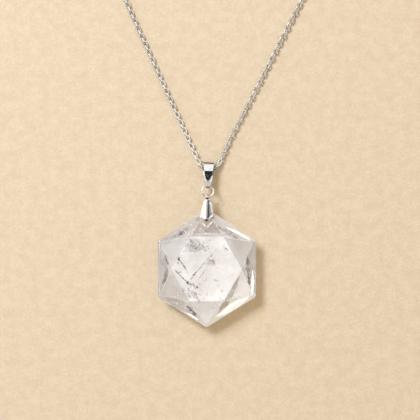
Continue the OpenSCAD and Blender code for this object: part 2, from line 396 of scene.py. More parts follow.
class Desk:
    """The node tree of one new material."""

    def __init__(self, name: str) -> None:
        """Starts an empty material.

        Args:
            name: Name of the material.
        """
        self.material = bpy.data.materials.new(name)
        self.material.use_nodes = True
        self.tree = self.material.node_tree
        self.tree.nodes.clear()

    def node(
        self,
        kind: str,
        settings: Mapping[str, object] | None = None,
        inputs: Mapping[str | int, object] | None = None,
        output: str | int = 0,
    ) -> Wire:
        """Adds a node.

        Args:
            kind: The node's type.
            settings: Its settings, such as an operation, set first.
            inputs: Values or wires for its sockets, by name or number.
            output: The output that is wanted, by name or number.

        Returns:
            That output, or an empty wire where the node has none.
        """
        made = self.tree.nodes.new(kind)
        for name, value in (settings or {}).items():
            setattr(made, name, value)
        for name, value in (inputs or {}).items():
            source = value.source if isinstance(value, Wire) else value
            if isinstance(source, bpy.types.NodeSocket):
                self.tree.links.new(source, made.inputs[name])
            else:
                made.inputs[name].default_value = source
        return Wire(self, made.outputs[output] if made.outputs else None)

    def place(self, scale: Place = (1, 1, 1)) -> Wire:
        """Gives the place on the object, stretched by a scale."""
        coordinates = self.node("ShaderNodeTexCoord", output="Object")
        return self.node("ShaderNodeMapping", inputs={"Vector": coordinates, "Scale": scale})

    def axis(self, place: Wire, name: str) -> Wire:
        """Gives the coordinate of a place along the axis of that name."""
        return self.node("ShaderNodeSeparateXYZ", inputs={0: place}, output=name)

    def noise(self, grain: Grain, place: Wire) -> Wire:
        """Gives soft noise from 0 to 1."""
        shape = {"Scale": grain.scale, "Detail": grain.detail, "Roughness": grain.roughness}
        return self.node("ShaderNodeTexNoise", inputs={"Vector": place, **shape})

    def patches(self, grain: Grain, place: Wire) -> Wire:
        """Gives patches with soft edges, 1 inside and 0 between them."""
        return self.ramp(self.noise(grain, place), grain.low, grain.high)

    def ramp(self, value: Wire, low: float, high: float) -> Wire:
        """Turns a value into a soft step.

        Args:
            value: The value.
            low: Where it begins to rise from 0.
            high: Where it reaches 1.

        Returns:
            The height of the step, from 0 to 1.
        """
        settings = {"interpolation_type": "SMOOTHSTEP"}
        inputs = {"Value": value, "From Min": low, "From Max": high}
        return self.node("ShaderNodeMapRange", settings, inputs)

    def mixed(self, share: Wire, first: Wire | Colour, second: Wire | Colour) -> Wire:
        """Blends two colours.

        Args:
            share: Share of the second colour.
            first: The first colour.
            second: The second colour.

        Returns:
            The blend.
        """
        colours = [each if isinstance(each, Wire) else (*each, 1.0) for each in (first, second)]
        inputs = {0: share, **dict(zip(MIX_COLOURS, colours))}
        return self.node("ShaderNodeMix", {"data_type": "RGBA"}, inputs, MIX_BLEND)

    def bump(self, height: Wire, depth: float) -> Wire:
        """Gives the normal of a surface with low relief.

        Args:
            height: The relief, from 0 to 1.
            depth: Height of the relief in metres.

        Returns:
            The normal.
        """
        inputs = {"Height": height, "Distance": depth, "Strength": 1.0}
        return self.node("ShaderNodeBump", inputs=inputs)

    def shader(self, kind: str, inputs: Mapping[str | int, object]) -> Wire:
        """Adds a shader node of that kind."""
        return self.node(kind, inputs=inputs)

    def done(self, shader: Wire) -> bpy.types.Material:
        """Joins a shader to the output and gives the finished material."""
        self.node("ShaderNodeOutputMaterial", inputs={"Surface": shader})
        return self.material


@dataclass(frozen=True)
class Silver:
    """Polished silver plate with faint rubbing marks and a soft bloom."""

    name: str
    colour: Colour = (0.9, 0.895, 0.885)
    dull_colour: Colour = (0.78, 0.765, 0.745)
    roughness: float = 0.06
    # Patches of the bloom, how far they take the dull colour and how much they roughen
    bloom: Grain = Grain(900, 4, 0.42, 0.75)
    bloom_share: float = 0.6
    bloom_rough: float = 0.1
    # The marks, how close they lie along each axis, how much they roughen and their depth
    marks: Grain = Grain(1, 3)
    mark_scale: Place = (9000, 1400, 9000)
    mark_rough: float = 0.05
    mark_depth: float = 1.5e-6

    def material(self) -> bpy.types.Material:
        """Makes the silver.

        Returns:
            The material.
        """
        desk = Desk(self.name)
        bloom = desk.patches(self.bloom, desk.place())
        rubbed = desk.noise(self.marks, desk.place(self.mark_scale))
        inputs = {
            "Base Color": desk.mixed(bloom * self.bloom_share, self.colour, self.dull_colour),
            "Metallic": 1.0,
            "Roughness": bloom * self.bloom_rough + rubbed * self.mark_rough + self.roughness,
            "Normal": desk.bump(rubbed, self.mark_depth),
        }
        return desk.done(desk.shader(PRINCIPLED, inputs))


@dataclass(frozen=True)
class Quartz:
    """Clear quartz with milk, as much as each face says, fine threads in the milk and a painted glow.
    """

    name: str = "clear_quartz"
    colour: Colour = (0.99, 0.985, 0.98)
    ior: float = 1.544
    roughness: float = 0.01
    # Clouds, how much they add to the milk and how much they roughen the clear quartz
    clouds: Grain = Grain(150, 5, 0.35, 0.7, 0.6)
    cloud: float = 0.35
    cloud_rough: float = 0.03
    # How much milkier the stone grows in a metre to the right, and how much downwards
    across: float = 7.0
    down: float = 4.0
    # Unevenness of the polish and its depth in metres
    waves: Grain = Grain(160, 2)
    wave_depth: float = 1.2e-5
    milk_colour: Colour = (0.95, 0.94, 0.94)
    milk_rough: float = 0.3
    # A thread runs where this noise passes its middle, in the patches that have threads
    bends: Grain = Grain(260, 7, roughness=0.66)
    thread_width: float = 0.02
    thread_patches: Grain = Grain(110, 3, 0.5, 0.68)
    thread_share: float = 0.8
    thread_colour: Colour = (0.5, 0.46, 0.42)
    veils: Grain = Grain(210, 4, 0.38, 0.66, 0.55)
    veil_share: float = 0.8
    veil_colour: Colour = (0.885, 0.85, 0.81)
    # Painted glow for the light that gathers on the side away from the key, and where it begins and
    # ends
    painted_glow_colour: Colour = (0.14, 0.14, 0.134)
    painted_glow: Spot = (0.002, 0.024)

    def material(self) -> bpy.types.Material:
        """Makes the quartz.

        Returns:
            The material, a blend of a clear and a milky one.
        """
        desk = Desk(self.name)
        place = desk.place()
        x, y = (desk.axis(place, name) for name in "XY")
        clouds = desk.patches(self.clouds, place)
        normal = desk.bump(desk.noise(self.waves, place), self.wave_depth)
        clear = {
            "Base Color": (*self.colour, 1.0),
            "Roughness": clouds * self.cloud_rough + self.roughness,
            "IOR": self.ior,
            "Transmission Weight": 1.0,
            "Normal": normal,
        }
        bend = desk.noise(self.bends, place) - 0.5
        thread = 1 - desk.ramp((bend * bend) ** 0.5, 0.0, self.thread_width)
        threads = thread * desk.patches(self.thread_patches, place)
        # Painted glow towards the lower right, away from the key, where the veils thin out
        painted_glow = desk.ramp(x - y, *self.painted_glow)
        veil = desk.patches(self.veils, place) * (1 - painted_glow)
        veiled = desk.mixed(veil * self.veil_share, self.milk_colour, self.veil_colour)
        milk = {
            "Base Color": desk.mixed(threads * self.thread_share, veiled, self.thread_colour),
            "Roughness": self.milk_rough,
            "IOR": self.ior,
            "Normal": normal,
            # The painted glow, as emission of the milk
            "Emission Color": desk.mixed(painted_glow, (0, 0, 0), self.painted_glow_colour),
            "Emission Strength": 1.0,
        }
        milky = desk.node("ShaderNodeAttribute", {"attribute_name": MILKY}, output="Fac")
        share = milky * (clouds * self.cloud + 1) + x * self.across - y * self.down
        blend = {
            0: share.clipped(),
            1: desk.shader(PRINCIPLED, clear),
            2: desk.shader(PRINCIPLED, milk),
        }
        return desk.done(desk.shader("ShaderNodeMixShader", blend))


@dataclass(frozen=True)
class Wisps:
    """See-through patches of a cloud, a fracture or a painted highlight, which fade out towards the
    sheet's edges.
    """

    name: str
    colour: Colour
    # Cover of a full patch, patches in a metre and where the noise rises to a patch
    density: float
    patch_scale: float
    low: float
    high: float
    # What there is of it between the patches, width of the soft edge and strength of its painted glow
    floor: float
    soft_edge: float = 0.5
    glow: float = 0.0
    detail: float = 6
    ragged: float = 0.62

    def material(self) -> bpy.types.Material:
        """Makes the wisps.

        Returns:
            The material.
        """
        desk = Desk(self.name)
        grain = Grain(self.patch_scale, self.detail, self.low, self.high, self.ragged)
        patches = desk.patches(grain, desk.place())
        sheet = desk.node("ShaderNodeUVMap")
        u, v = ((desk.axis(sheet, name) * 2 - 1) ** 2 for name in "XY")
        edge = 1 - desk.ramp(u + v, 1 - self.soft_edge, 1.0)
        inputs = {
            "Base Color": (*self.colour, 1.0),
            "Roughness": 0.7,
            "IOR": 1.05,
            "Emission Color": (*self.colour, 1.0),
            "Emission Strength": self.glow,
            "Alpha": ((patches + self.floor) * edge * self.density).clipped(),
        }
        return desk.done(desk.shader(PRINCIPLED, inputs))


@dataclass(frozen=True)
class Mineral:
    """Dull dark mineral, a little uneven."""

    name: str = "dark_mineral"
    colour: Colour = (0.05, 0.04, 0.035)
    pale_colour: Colour = (0.16, 0.13, 0.11)
    pale: Grain = Grain(3000, 3, 0.35, 0.65)

    def material(self) -> bpy.types.Material:
        """Makes the mineral.

        Returns:
            The material.
        """
        desk = Desk(self.name)
        pale = desk.patches(self.pale, desk.place())
        inputs = {
            "Base Color": desk.mixed(pale, self.colour, self.pale_colour),
            "Roughness": 0.6,
        }
        return desk.done(desk.shader(PRINCIPLED, inputs))


@dataclass(frozen=True)
class PaleFloor:
    """Pale sand-coloured matt floor with a faint mottle and fine grain."""

    name: str = "pale_floor"
    colour: Colour = (0.8, 0.68, 0.51)
    mottle: Grain = Grain(330, 7, 0.32, 0.68, 0.75)
    mottle_colour: Colour = (0.72, 0.585, 0.41)
    # The grain, how far its high parts take the specks' colour and its depth in metres
    grain: Grain = Grain(1500, 4, 0.35, 0.7, 0.7)
    speck_colour: Colour = (0.62, 0.5, 0.35)
    speck_share: float = 0.45
    grain_depth: float = 1.6e-4

    def material(self) -> bpy.types.Material:
        """Makes the floor's finish.

        Returns:
            The material.
        """
        desk = Desk(self.name)
        place = desk.place()
        mottle = desk.patches(self.mottle, place)
        ground = desk.mixed(mottle, self.colour, self.mottle_colour)
        grain = desk.noise(self.grain, place)
        speck = desk.ramp(grain, self.grain.low, self.grain.high)
        inputs = {
            "Base Color": desk.mixed(speck * self.speck_share, ground, self.speck_colour),
            "Roughness": 0.95,
            "Normal": desk.bump(grain, self.grain_depth),
        }
        return desk.done(desk.shader(PRINCIPLED, inputs))


@dataclass(frozen=True)
class Glow:
    """Even light of a studio card, or none for a dark one."""

    name: str
    colour: Colour
    strength: float

    def material(self) -> bpy.types.Material:
        """Makes the card's finish.

        Returns:
            The material.
        """
        desk = Desk(self.name)
        inputs = {
            "Base Color": (0.01, 0.01, 0.01, 1.0),
            "Roughness": 1.0,
            "Emission Color": (*self.colour, 1.0),
            "Emission Strength": self.strength,
        }
        return desk.done(desk.shader(PRINCIPLED, inputs))


def dress(piece: bpy.types.Object, material: bpy.types.Material, slot: Slot, *nodes: str) -> None:
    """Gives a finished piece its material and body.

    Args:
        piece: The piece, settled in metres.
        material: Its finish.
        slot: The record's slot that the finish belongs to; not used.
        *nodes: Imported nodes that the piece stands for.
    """
    piece.data.materials.clear()
    piece.data.materials.append(material)
    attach(piece, "root")
    if nodes:
        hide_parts(*nodes)
    faces = sum(len(face.vertices) - 2 for face in piece.data.polygons)
    log.info("%s: %d triangles, stands for %s", piece.name, faces, ", ".join(nodes) or "nothing")


# The stone


@dataclass
class QuartzStone:
    """Hexagonal stone, the same on both sides: a table, six star points and six side facets."""

    table_w: float = 21.3
    table_h: float = 19.5
    table_edge: float = 10.3
    side_len: float = 17.1
    girdle_h: float = 0.4
    bevel_w: float = 0.8
    bevel_h: float = 0.9
    corner_cut: float = 0.2
    edge_round: float = 0.1
    # Degrees over which an edge is broken
    sharp_edge: float = 6.0
    hole_d: float = 1.2
    hole_inset: float = 2.75
    hole_sides: int = 32
    # Sides of the block that the stone is ground from, as shares of its own
    block: Place = (1.2, 1.2, 1)
    # How straight up or down a star point faces at least, and a table
    star_level: float = 0.82
    table_level: float = 0.98
    # Milkiness of the tables and, clockwise from the top, of the facets
    front_table_milk: float = 0.62
    back_table_milk: float = 0.95
    front_star_milk: tuple[float, ...] = (0.2, 0.24, 0.5, 0.38, 0.32, 0.36)
    back_star_milk: tuple[float, ...] = (0.25, 0.5, 0.95, 0.9, 0.45, 0.8)
    side_milk: tuple[float, ...] = (0.5, 0.12, 0.95, 0.22, 0.26, 0.3)
    # Milkiness of the narrow faces, and the square millimetres under which a face is one
    edge_milk: float = 0.7
    edge_area: float = 3.0
    low: Vector = field(default_factory=lambda: node_box("crystal")[0])
    high: Vector = field(default_factory=lambda: node_box("crystal")[1])

    @property
    def mid_z(self) -> float:
        """Height of the girdle's middle."""
        return (self.low.z + self.high.z) / 2

    @property
    def crown_z(self) -> float:
        """Height from the girdle's middle to the foot of the facets."""
        return self.girdle_h / 2 + self.bevel_h

    @property
    def hole_y(self) -> float:
        """Place of the drilled hole."""
        return self.high.y - self.hole_inset

    def outline(self, inset: float) -> list[Spot]:
        """Gives the outline's six corners, clockwise from the top.

        Args:
            inset: Distance that the outline is moved inwards.

        Returns:
            The corners as x and y.
        """
        half_w = self.high.x
        half_side = self.side_len / 2
        rise = (self.high.y - half_side) / half_w
        drop = (-self.low.y - half_side) / half_w
        side = half_w - inset
        top = self.high.y - inset * math.hypot(1, rise)
        bottom = self.low.y + inset * math.hypot(1, drop)
        upper = top - rise * side
        lower = bottom + drop * side
        return [(0, top), (side, upper), (side, lower), (0, bottom), (-side, lower), (-side, upper)]

    def table(self) -> list[Spot]:
        """Gives the table's six corners, clockwise from the upper right."""
        edge, tall, wide = self.table_edge / 2, self.table_h / 2, self.table_w / 2
        return [(edge, tall), (wide, 0), (edge, -tall), (-edge, -tall), (-wide, 0), (-edge, tall)]

    def facets(self, sides: Sequence[int] = (1, -1)) -> Iterator[tuple[Vector, Vector, Vector]]:
        """Gives three points of each facet that is ground on the stone.

        Args:
            sides: 1 for the front facets, -1 for those of the back.

        Yields:
            Three points of a facet.
        """
        levels = (
            (self.outline(0), self.girdle_h / 2),
            (self.outline(self.bevel_w), self.crown_z),
            (self.table(), self.high.z - self.mid_z),
        )
        for side in sides:
            rim, foot, table = (
                [Vector((*corner, self.mid_z + side * height)) for corner in corners]
                for corners, height in levels
            )
            for k, low in enumerate(foot):
                after = (k + 1) % len(foot)
                yield rim[k], rim[after], low
                yield low, table[k], table[k - 1]
                yield low, foot[after], table[k]

    def over(self, place: Vector, lift: float) -> Vector:
        """Moves a place up or down to the stone's front.

        Args:
            place: Any place over or under the front.
            lift: How far over the front it goes.

        Returns:
            The place on the front.
        """
        heights = [self.high.z]
        for first, second, third in self.facets((1,)):
            normal = (second - first).cross(third - first)
            heights.append(first.z - normal.xy.dot((place - first).xy) / normal.z)
        return Vector((place.x, place.y, min(heights) + lift))

    def uprights(self) -> Iterator[tuple[Vector, Vector]]:
        """Gives the upright cuts of the outline.

        Yields:
            A point of a cut and the cut's outward direction.
        """
        rim = [Vector((*corner, self.mid_z)) for corner in self.outline(0)]
        for k, corner in enumerate(rim):
            after = rim[(k + 1) % len(rim)]
            ahead = (after - corner).normalized()
            yield corner, Z_AXIS.cross(ahead)
            behind = (rim[k - 1] - corner).normalized()
            outward = -(ahead + behind).normalized()
            yield corner - outward * self.corner_cut, outward

    def build(self) -> bpy.types.Object:
        """Grinds the stone from a block, drills it and breaks its edges.

        Returns:
            The stone, settled in metres.
        """
        middle = (self.low + self.high) / 2
        block = (self.high - self.low) * Vector(self.block)
        bpy.ops.mesh.primitive_cube_add(size=1, location=middle, scale=block)
        stone = bpy.context.object
        stone.name = stone.data.name = "crystal_stone"
        bpy.ops.object.transform_apply(location=True, rotation=True, scale=True)
        planes = list(self.uprights())
        for first, second, third in self.facets():
            normal = (second - first).cross(third - first).normalized()
            if normal.dot(first - middle) < 0:
                normal.negate()
            planes.append((first, normal))
        with editing(stone):
            for place, normal in planes:
                bpy.ops.mesh.select_all(action="SELECT")
                bpy.ops.mesh.bisect(
                    plane_co=place, plane_no=normal, use_fill=True, clear_outer=True, threshold=ON_CUT
                )
        self._drill(stone)
        break_edges(stone, self.edge_round, self.sharp_edge)
        pick(stone)
        bpy.ops.object.shade_flat()
        milky = stone.data.attributes.new(MILKY, "FLOAT", "FACE")
        for face, mark in zip(stone.data.polygons, milky.data):
            mark.value = self.edge_milk if face.area < self.edge_area else self._milk(face.normal)
        return settle(stone)

    def make(self, finish: bpy.types.Material) -> None:
        """Builds the stone and dresses it."""
        dress(self.build(), finish, Slot.QUARTZ, "crystal")

    def _milk(self, normal: Vector) -> float:
        """Gives a face's milkiness from the way it faces.

        Args:
            normal: The face's outward direction.

        Returns:
            Share of milkiness.
        """
        count = len(self.side_milk)
        turn = math.atan2(normal.x, normal.y) / (math.tau / count)
        if abs(normal.z) > self.table_level:
            return self.front_table_milk if normal.z > 0 else self.back_table_milk
        if abs(normal.z) > self.star_level:
            stars = self.front_star_milk if normal.z > 0 else self.back_star_milk
            return stars[round(turn) % count]
        return self.side_milk[math.floor(turn) % count]

    def _drill(self, stone: bpy.types.Object) -> None:
        """Drills the hole for the bail's pegs right through the stone."""
        bpy.ops.mesh.primitive_cylinder_add(
            vertices=self.hole_sides,
            radius=self.hole_d / 2,
            depth=2 * (self.high.z - self.low.z),
            location=(0, self.hole_y, self.mid_z),
        )
        merge(stone, bpy.context.object, Merge.CUT)


class Tint(Enum):
    """Finishes of the flaws in the stone, and of its painted highlights and painted reflection."""

    HAZE = Wisps("milky_haze", (0.985, 0.975, 0.965), 0.35, 130, 0.25, 0.65, 0.3)
    DARK = Wisps("dark_crack", (0.2, 0.18, 0.16), 0.95, 1500, 0.38, 0.62, 0.1, 0.9)
    SMOKE = Wisps("smoky_crack", (0.4, 0.37, 0.34), 0.65, 1100, 0.4, 0.7, 0.06, 0.95)
    SMUDGE = Wisps("smudge", (0.36, 0.33, 0.3), 0.62, 700, 0.36, 0.7, 0.12, 0.9)
    # Pale cracks, and the painted reflection of the bail's leaf
    PALE = Wisps("pale_crack_and_reflection", (0.99, 0.98, 0.97), 0.8, 800, 0.35, 0.6, 0.2, 0.9)
    # Painted highlights that also glow: white strips where the facets catch the light
    GLINT = Wisps("clear_glint", (1.0, 0.99, 0.98), 0.9, 260, 0.3, 0.6, 0.45, 0.6, 0.42)
    STRIP = Wisps("grey_strip", (0.55, 0.51, 0.47), 0.42, 420, 0.3, 0.7, 0.6, 0.2)


@dataclass(frozen=True)
class Haze:
    """Milky cloud that lies level in the stone, round and soft at its edges."""

    name: str
    middle: Place
    size: Spot
    # How far its right and its upper edge rise, and how far it bows on its way
    tilt: Spot
    bow: float
    seed: int
    waves: float = 0.22
    thickness: float = 0.03
    steps: int = 20

    def build(self) -> bpy.types.Object:
        """Bows a level round sheet and closes it.

        Returns:
            The cloud, settled in metres.
        """
        middle = Vector(self.middle)
        rows = []
        for i in range(self.steps + 1):
            row = []
            for k in range(self.steps + 1):
                u, v = 2 * k / self.steps - 1, 2 * i / self.steps - 1
                place = Vector((
                    u * math.sqrt(1 - v * v / 2) * self.size[0] / 2,
                    v * math.sqrt(1 - u * u / 2) * self.size[1] / 2,
                    0,
                ))
                wave = noise.noise(place * self.waves + Vector((self.seed, 0, 0)))
                place.z = u * self.tilt[0] + v * self.tilt[1] + wave * self.bow
                row.append(middle + place)
            rows.append(row)
        under = [[place - Z_AXIS * self.thickness for place in row] for row in rows]
        return settle(wall_between(self.name, rows, under))


# How far the flaws and painted highlights in the stone's front stand out of it, and their thickness
MARK_LIFT = 0.006
MARK_DEPTH = 0.02


@dataclass(frozen=True)
class Ribbon:
    """Thin ragged strip in the skin of the stone's front, widest in its middle."""

    stone: QuartzStone
    width: float
    # How much it wanders, from 0 to 1
    ragged: float
    steps: int
    # Share of the width that its ends keep, and how fast the rest grows from them
    end_share: float = 0.12
    growth: float = 0.5
    # Waves in a millimetre of its width and of its line, and how far the line is shaken
    width_waves: float = 1.7
    line_waves: float = 2.3
    shake: float = 0.3
    columns: tuple[float, ...] = (-0.5, -0.25, 0, 0.25, 0.5)

    def along(self, points: Points) -> bpy.types.Object:
        """Runs the strip along a line.

        Args:
            points: Points of the line, seen from above.

        Returns:
            The strip, in millimetres.
        """
        last = len(points) - 1
        rows, under = [], []
        for i in range(self.steps + 1):
            at = last * i / self.steps
            k = min(int(at), last - 1)
            slopes = [(points[min(n + 1, last)] - points[max(n - 1, 0)]) / 2 for n in (k, k + 1)]
            place = hermite(points[k], points[k + 1], *slopes, at - k)
            across = Z_AXIS.cross(points[k + 1] - points[k]).normalized()
            taper = self.end_share + math.sin(math.pi * i / self.steps) ** self.growth
            wave = 1 + noise.noise(place * self.width_waves) * self.ragged
            reach = across * self.width * taper * wave
            row = []
            for share in self.columns:
                near = place * self.line_waves + across * share * 2
                shaken = noise.noise_vector(near) * self.ragged * self.shake
                row.append(self.stone.over(place + reach * share + shaken, MARK_LIFT))
            rows.append(row)
            under.append([point - Z_AXIS * MARK_DEPTH for point in row])
        return wall_between("ribbon", rows, under)


@dataclass(frozen=True)
class CrackAndGlint:
    """Ragged fracture, painted highlight or painted reflection that shows in the stone's front along a
    line.
    """

    name: str
    tint: Tint
    points: tuple[Spot, ...]
    width: float
    ragged: float = 0.5
    steps: int = 24

    def build(self, stone: QuartzStone) -> bpy.types.Object:
        """Runs the strip along its line.

        Args:
            stone: The stone that it lies in.

        Returns:
            The strip, settled in metres.
        """
        points = [Vector((*point, 0)) for point in self.points]
        drawn_strip = Ribbon(stone, self.width, self.ragged, self.steps).along(points)
        drawn_strip.name = drawn_strip.data.name = self.name
        return settle(drawn_strip)


# How far the places that are strewn over a patch scatter, as a share of its width
SCATTER = 0.5


def strewn(draw: random.Random, middle: Spot, spread: Spot) -> Vector:
    """Draws a place near the middle of a patch, seen from above."""
    x, y = (mid + draw.gauss(0, SCATTER) * side for mid, side in zip(middle, spread))
    return Vector((x, y, 0))


@dataclass(frozen=True)
class Hairs:
    """Scatter of short bowed hairline cracks in the stone's front."""

    name: str
    tint: Tint
    middle: Spot
    spread: Spot
    count: int
    length: Spot
    seed: int
    width: float = 0.16
    bow: float = 0.5
    # Shares of the width from the finest to the widest
    widths: Spot = (0.6, 1.3)
    ragged: float = 0.6
    steps: int = 8

    def build(self, stone: QuartzStone) -> bpy.types.Object:
        """Draws short bowed lines at random and joins their strips.

        Args:
            stone: The stone that they lie in.

        Returns:
            The hairlines, settled in metres.
        """
        draw = random.Random(self.seed)
        hairs = []
        for _ in range(self.count):
            middle = strewn(draw, self.middle, self.spread)
            half = Vector((draw.uniform(*self.length) / 2, 0, 0))
            half.rotate(Matrix.Rotation(draw.uniform(0, math.tau), 3, "Z"))
            bow = Z_AXIS.cross(half) * draw.uniform(-self.bow, self.bow)
            width = self.width * draw.uniform(*self.widths)
            hair = Ribbon(stone, width, self.ragged, self.steps)
            hairs.append(hair.along([middle - half, middle + bow, middle + half]))
        return settle(join(self.name, hairs))


@dataclass(frozen=True)
class Flecks:
    """Scatter of small dark mineral grains in the stone's front."""

    name: str
    middle: Spot
    spread: Spot
    count: int
    size: Spot
    seed: int
    # How far the corners lie from the middle, and the grain's length, width and height
    corners: Spot = (0.55, 1.2)
    shape: Place = (1, 0.6, 0.09)

    def build(self, stone: QuartzStone) -> bpy.types.Object:
        """Breaks small balls into irregular grains and joins them.

        Args:
            stone: The stone that they lie in.

        Returns:
            The grains, settled in metres.
        """
        draw = random.Random(self.seed)
        grains = []
        for _ in range(self.count):
            place = stone.over(strewn(draw, self.middle, self.spread), MARK_LIFT)
            bpy.ops.mesh.primitive_ico_sphere_add(subdivisions=1, radius=1)
            grain = bpy.context.object
            for corner in grain.data.vertices:
                corner.co *= draw.uniform(*self.corners)
            radius = draw.uniform(*self.size)
            turn = Matrix.Rotation(draw.uniform(0, math.tau), 4, "Z")
            shape = Matrix.Diagonal((*(radius * share for share in self.shape), 1))
            grain.matrix_world = Matrix.Translation(place) @ turn @ shape
            grains.append(grain)
        return settle(join(self.name, grains))


# The flaws, painted highlights and a painted reflection, by their places in millimetres from the
# stone's middle, seen from above
HAZE = Haze("lower_haze", (-0.4, -0.4, 2.2), (23, 22), (-0.2, 0.3), 0.6, 11)
CRACKS_AND_GLINTS = (
    CrackAndGlint(
        "left_vein",
        Tint.DARK,
        ((-8.9, 3.8), (-8.2, 2.7), (-6.9, 0.9), (-5.9, -0.6), (-5.2, -1.9)),
        0.4,
    ),
    CrackAndGlint("left_blot", Tint.DARK, ((-9.0, 3.9), (-8.5, 3.0), (-8.0, 2.3)), 0.8, 0.8),
    CrackAndGlint(
        "long_vein",
        Tint.DARK,
        (
            (-10.0, 0.1), (-8.9, -0.9), (-7.6, -2.4), (-5.9, -4.0),
            (-4.6, -4.8), (-2.9, -5.3), (-1.2, -5.9),
        ),
        0.42,
        0.6,
    ),
    CrackAndGlint(
        "cross_vein",
        Tint.SMOKE,
        ((-5.0, -4.2), (-2.6, -0.6), (-0.3, 2.4), (2.0, 4.7), (3.8, 7.5)),
        0.5,
    ),
    CrackAndGlint("cross_vein_side", Tint.SMOKE, ((-3.6, -4.4), (-1.6, -2.0), (0.2, 0.6), (1.6, 2.8)), 0.3),
    CrackAndGlint("cross_vein_low", Tint.DARK, ((-5.0, -3.4), (-4.0, -2.0), (-2.6, -0.3)), 0.4, 0.8),
    CrackAndGlint("top_vein", Tint.SMUDGE, ((-5.6, 9.3), (-3.0, 7.6), (0.6, 5.2)), 2.4, 1),
    CrackAndGlint("top_cloud", Tint.SMUDGE, ((-6.6, 8.0), (-4.4, 6.2), (-1.6, 5.6)), 2.2, 1),
    CrackAndGlint("mid_smudge", Tint.SMUDGE, ((-0.4, 1.2), (1.2, 2.4), (3.0, 0.6)), 1.6, 1),
    CrackAndGlint("right_dash", Tint.DARK, ((5.2, 6.7), (5.9, 6.2), (6.7, 5.3)), 0.4),
    CrackAndGlint("low_dash", Tint.DARK, ((2.0, -3.2), (2.9, -3.4), (4.0, -3.5)), 0.26, 0.1),
    CrackAndGlint("low_dash_pair", Tint.SMOKE, ((2.3, -3.9), (3.1, -4.1), (3.9, -4.1)), 0.3, 0.1),
    CrackAndGlint("low_curl", Tint.SMUDGE, ((-7.4, -4.9), (-6.6, -7.3), (-4.2, -8.9)), 1.4, 0.9),
    CrackAndGlint("low_curl_right", Tint.SMUDGE, ((-5.6, -6.0), (-3.6, -7.6), (-2.4, -9.6)), 1.4, 0.9),
    CrackAndGlint("left_shard", Tint.DARK, ((-11.6, -0.2), (-12.5, -2.4), (-13.5, -4.8)), 1.4),
    CrackAndGlint("left_streak", Tint.DARK, ((-12.6, 4.6), (-12.2, 3.0), (-11.4, 1.0)), 0.8, 0.8),
    CrackAndGlint("low_shard", Tint.DARK, ((-6.3, -10.9), (-4.6, -12.7), (-2.6, -14.8)), 1.1),
    # Painted highlight along the lower left edge
    CrackAndGlint("low_left_glint", Tint.GLINT, ((-7.0, -12.9), (-4.6, -14.3), (-2.2, -15.8)), 0.5, 0.3),
    CrackAndGlint("right_streak", Tint.SMUDGE, ((12.4, 5.0), (12.6, 1.0), (13.0, -4.8)), 1.3, 0.8),
    CrackAndGlint("right_mark", Tint.DARK, ((12.3, 4.4), (12.4, 3.4), (12.6, 1.8)), 0.6, 0.8),
    CrackAndGlint("right_low_mark", Tint.DARK, ((12.6, -2.0), (13.0, -3.6), (12.9, -5.4)), 0.7, 0.8),
    # Painted highlights along the right, lower right and upper right edges
    CrackAndGlint("right_glint", Tint.GLINT, ((14.1, 0.0), (14.1, -4.0), (13.9, -8.2)), 0.9, 0.3),
    CrackAndGlint("low_glint", Tint.GLINT, ((2.6, -14.75), (8.0, -11.4), (13.4, -8.05)), 2.1, 0.05),
    CrackAndGlint("high_glint", Tint.GLINT, ((5.6, 12.9), (9.8, 10.9), (13.5, 8.7)), 0.8, 0.3),
    # Painted reflection of the bail's leaf in the top facets: a pale V under the hole
    CrackAndGlint("leaf_reflection_left", Tint.PALE, ((-1.9, 15.0), (-0.9, 13.6), (0, 12.4)), 0.5, 0.5),
    CrackAndGlint("leaf_reflection_right", Tint.PALE, ((-0.1, 12.3), (1.0, 13.7), (2.3, 15.0)), 0.5, 0.5),
    CrackAndGlint("edge_strip", Tint.STRIP, ((10.2, -1.9), (7.5, -7.1), (5.6, -10.8), (3.3, -14.0)), 1.9, 0.1),
    CrackAndGlint("corner_dash", Tint.DARK, ((13.4, 8.5), (14.0, 8.3), (14.5, 8.1)), 0.4),
    CrackAndGlint("high_smudge", Tint.DARK, ((-8.6, 10.0), (-7.5, 10.9), (-6.4, 11.2)), 1.2, 0.8),
    CrackAndGlint("high_left_smudge", Tint.SMOKE, ((-11.5, 9.0), (-7.5, 11.4), (-4.4, 13.2)), 1.3, 0.9),
    CrackAndGlint("high_right_smudge", Tint.SMUDGE, ((2.6, 13.4), (6.4, 11.2), (10.4, 8.8)), 1.6, 0.9),
)
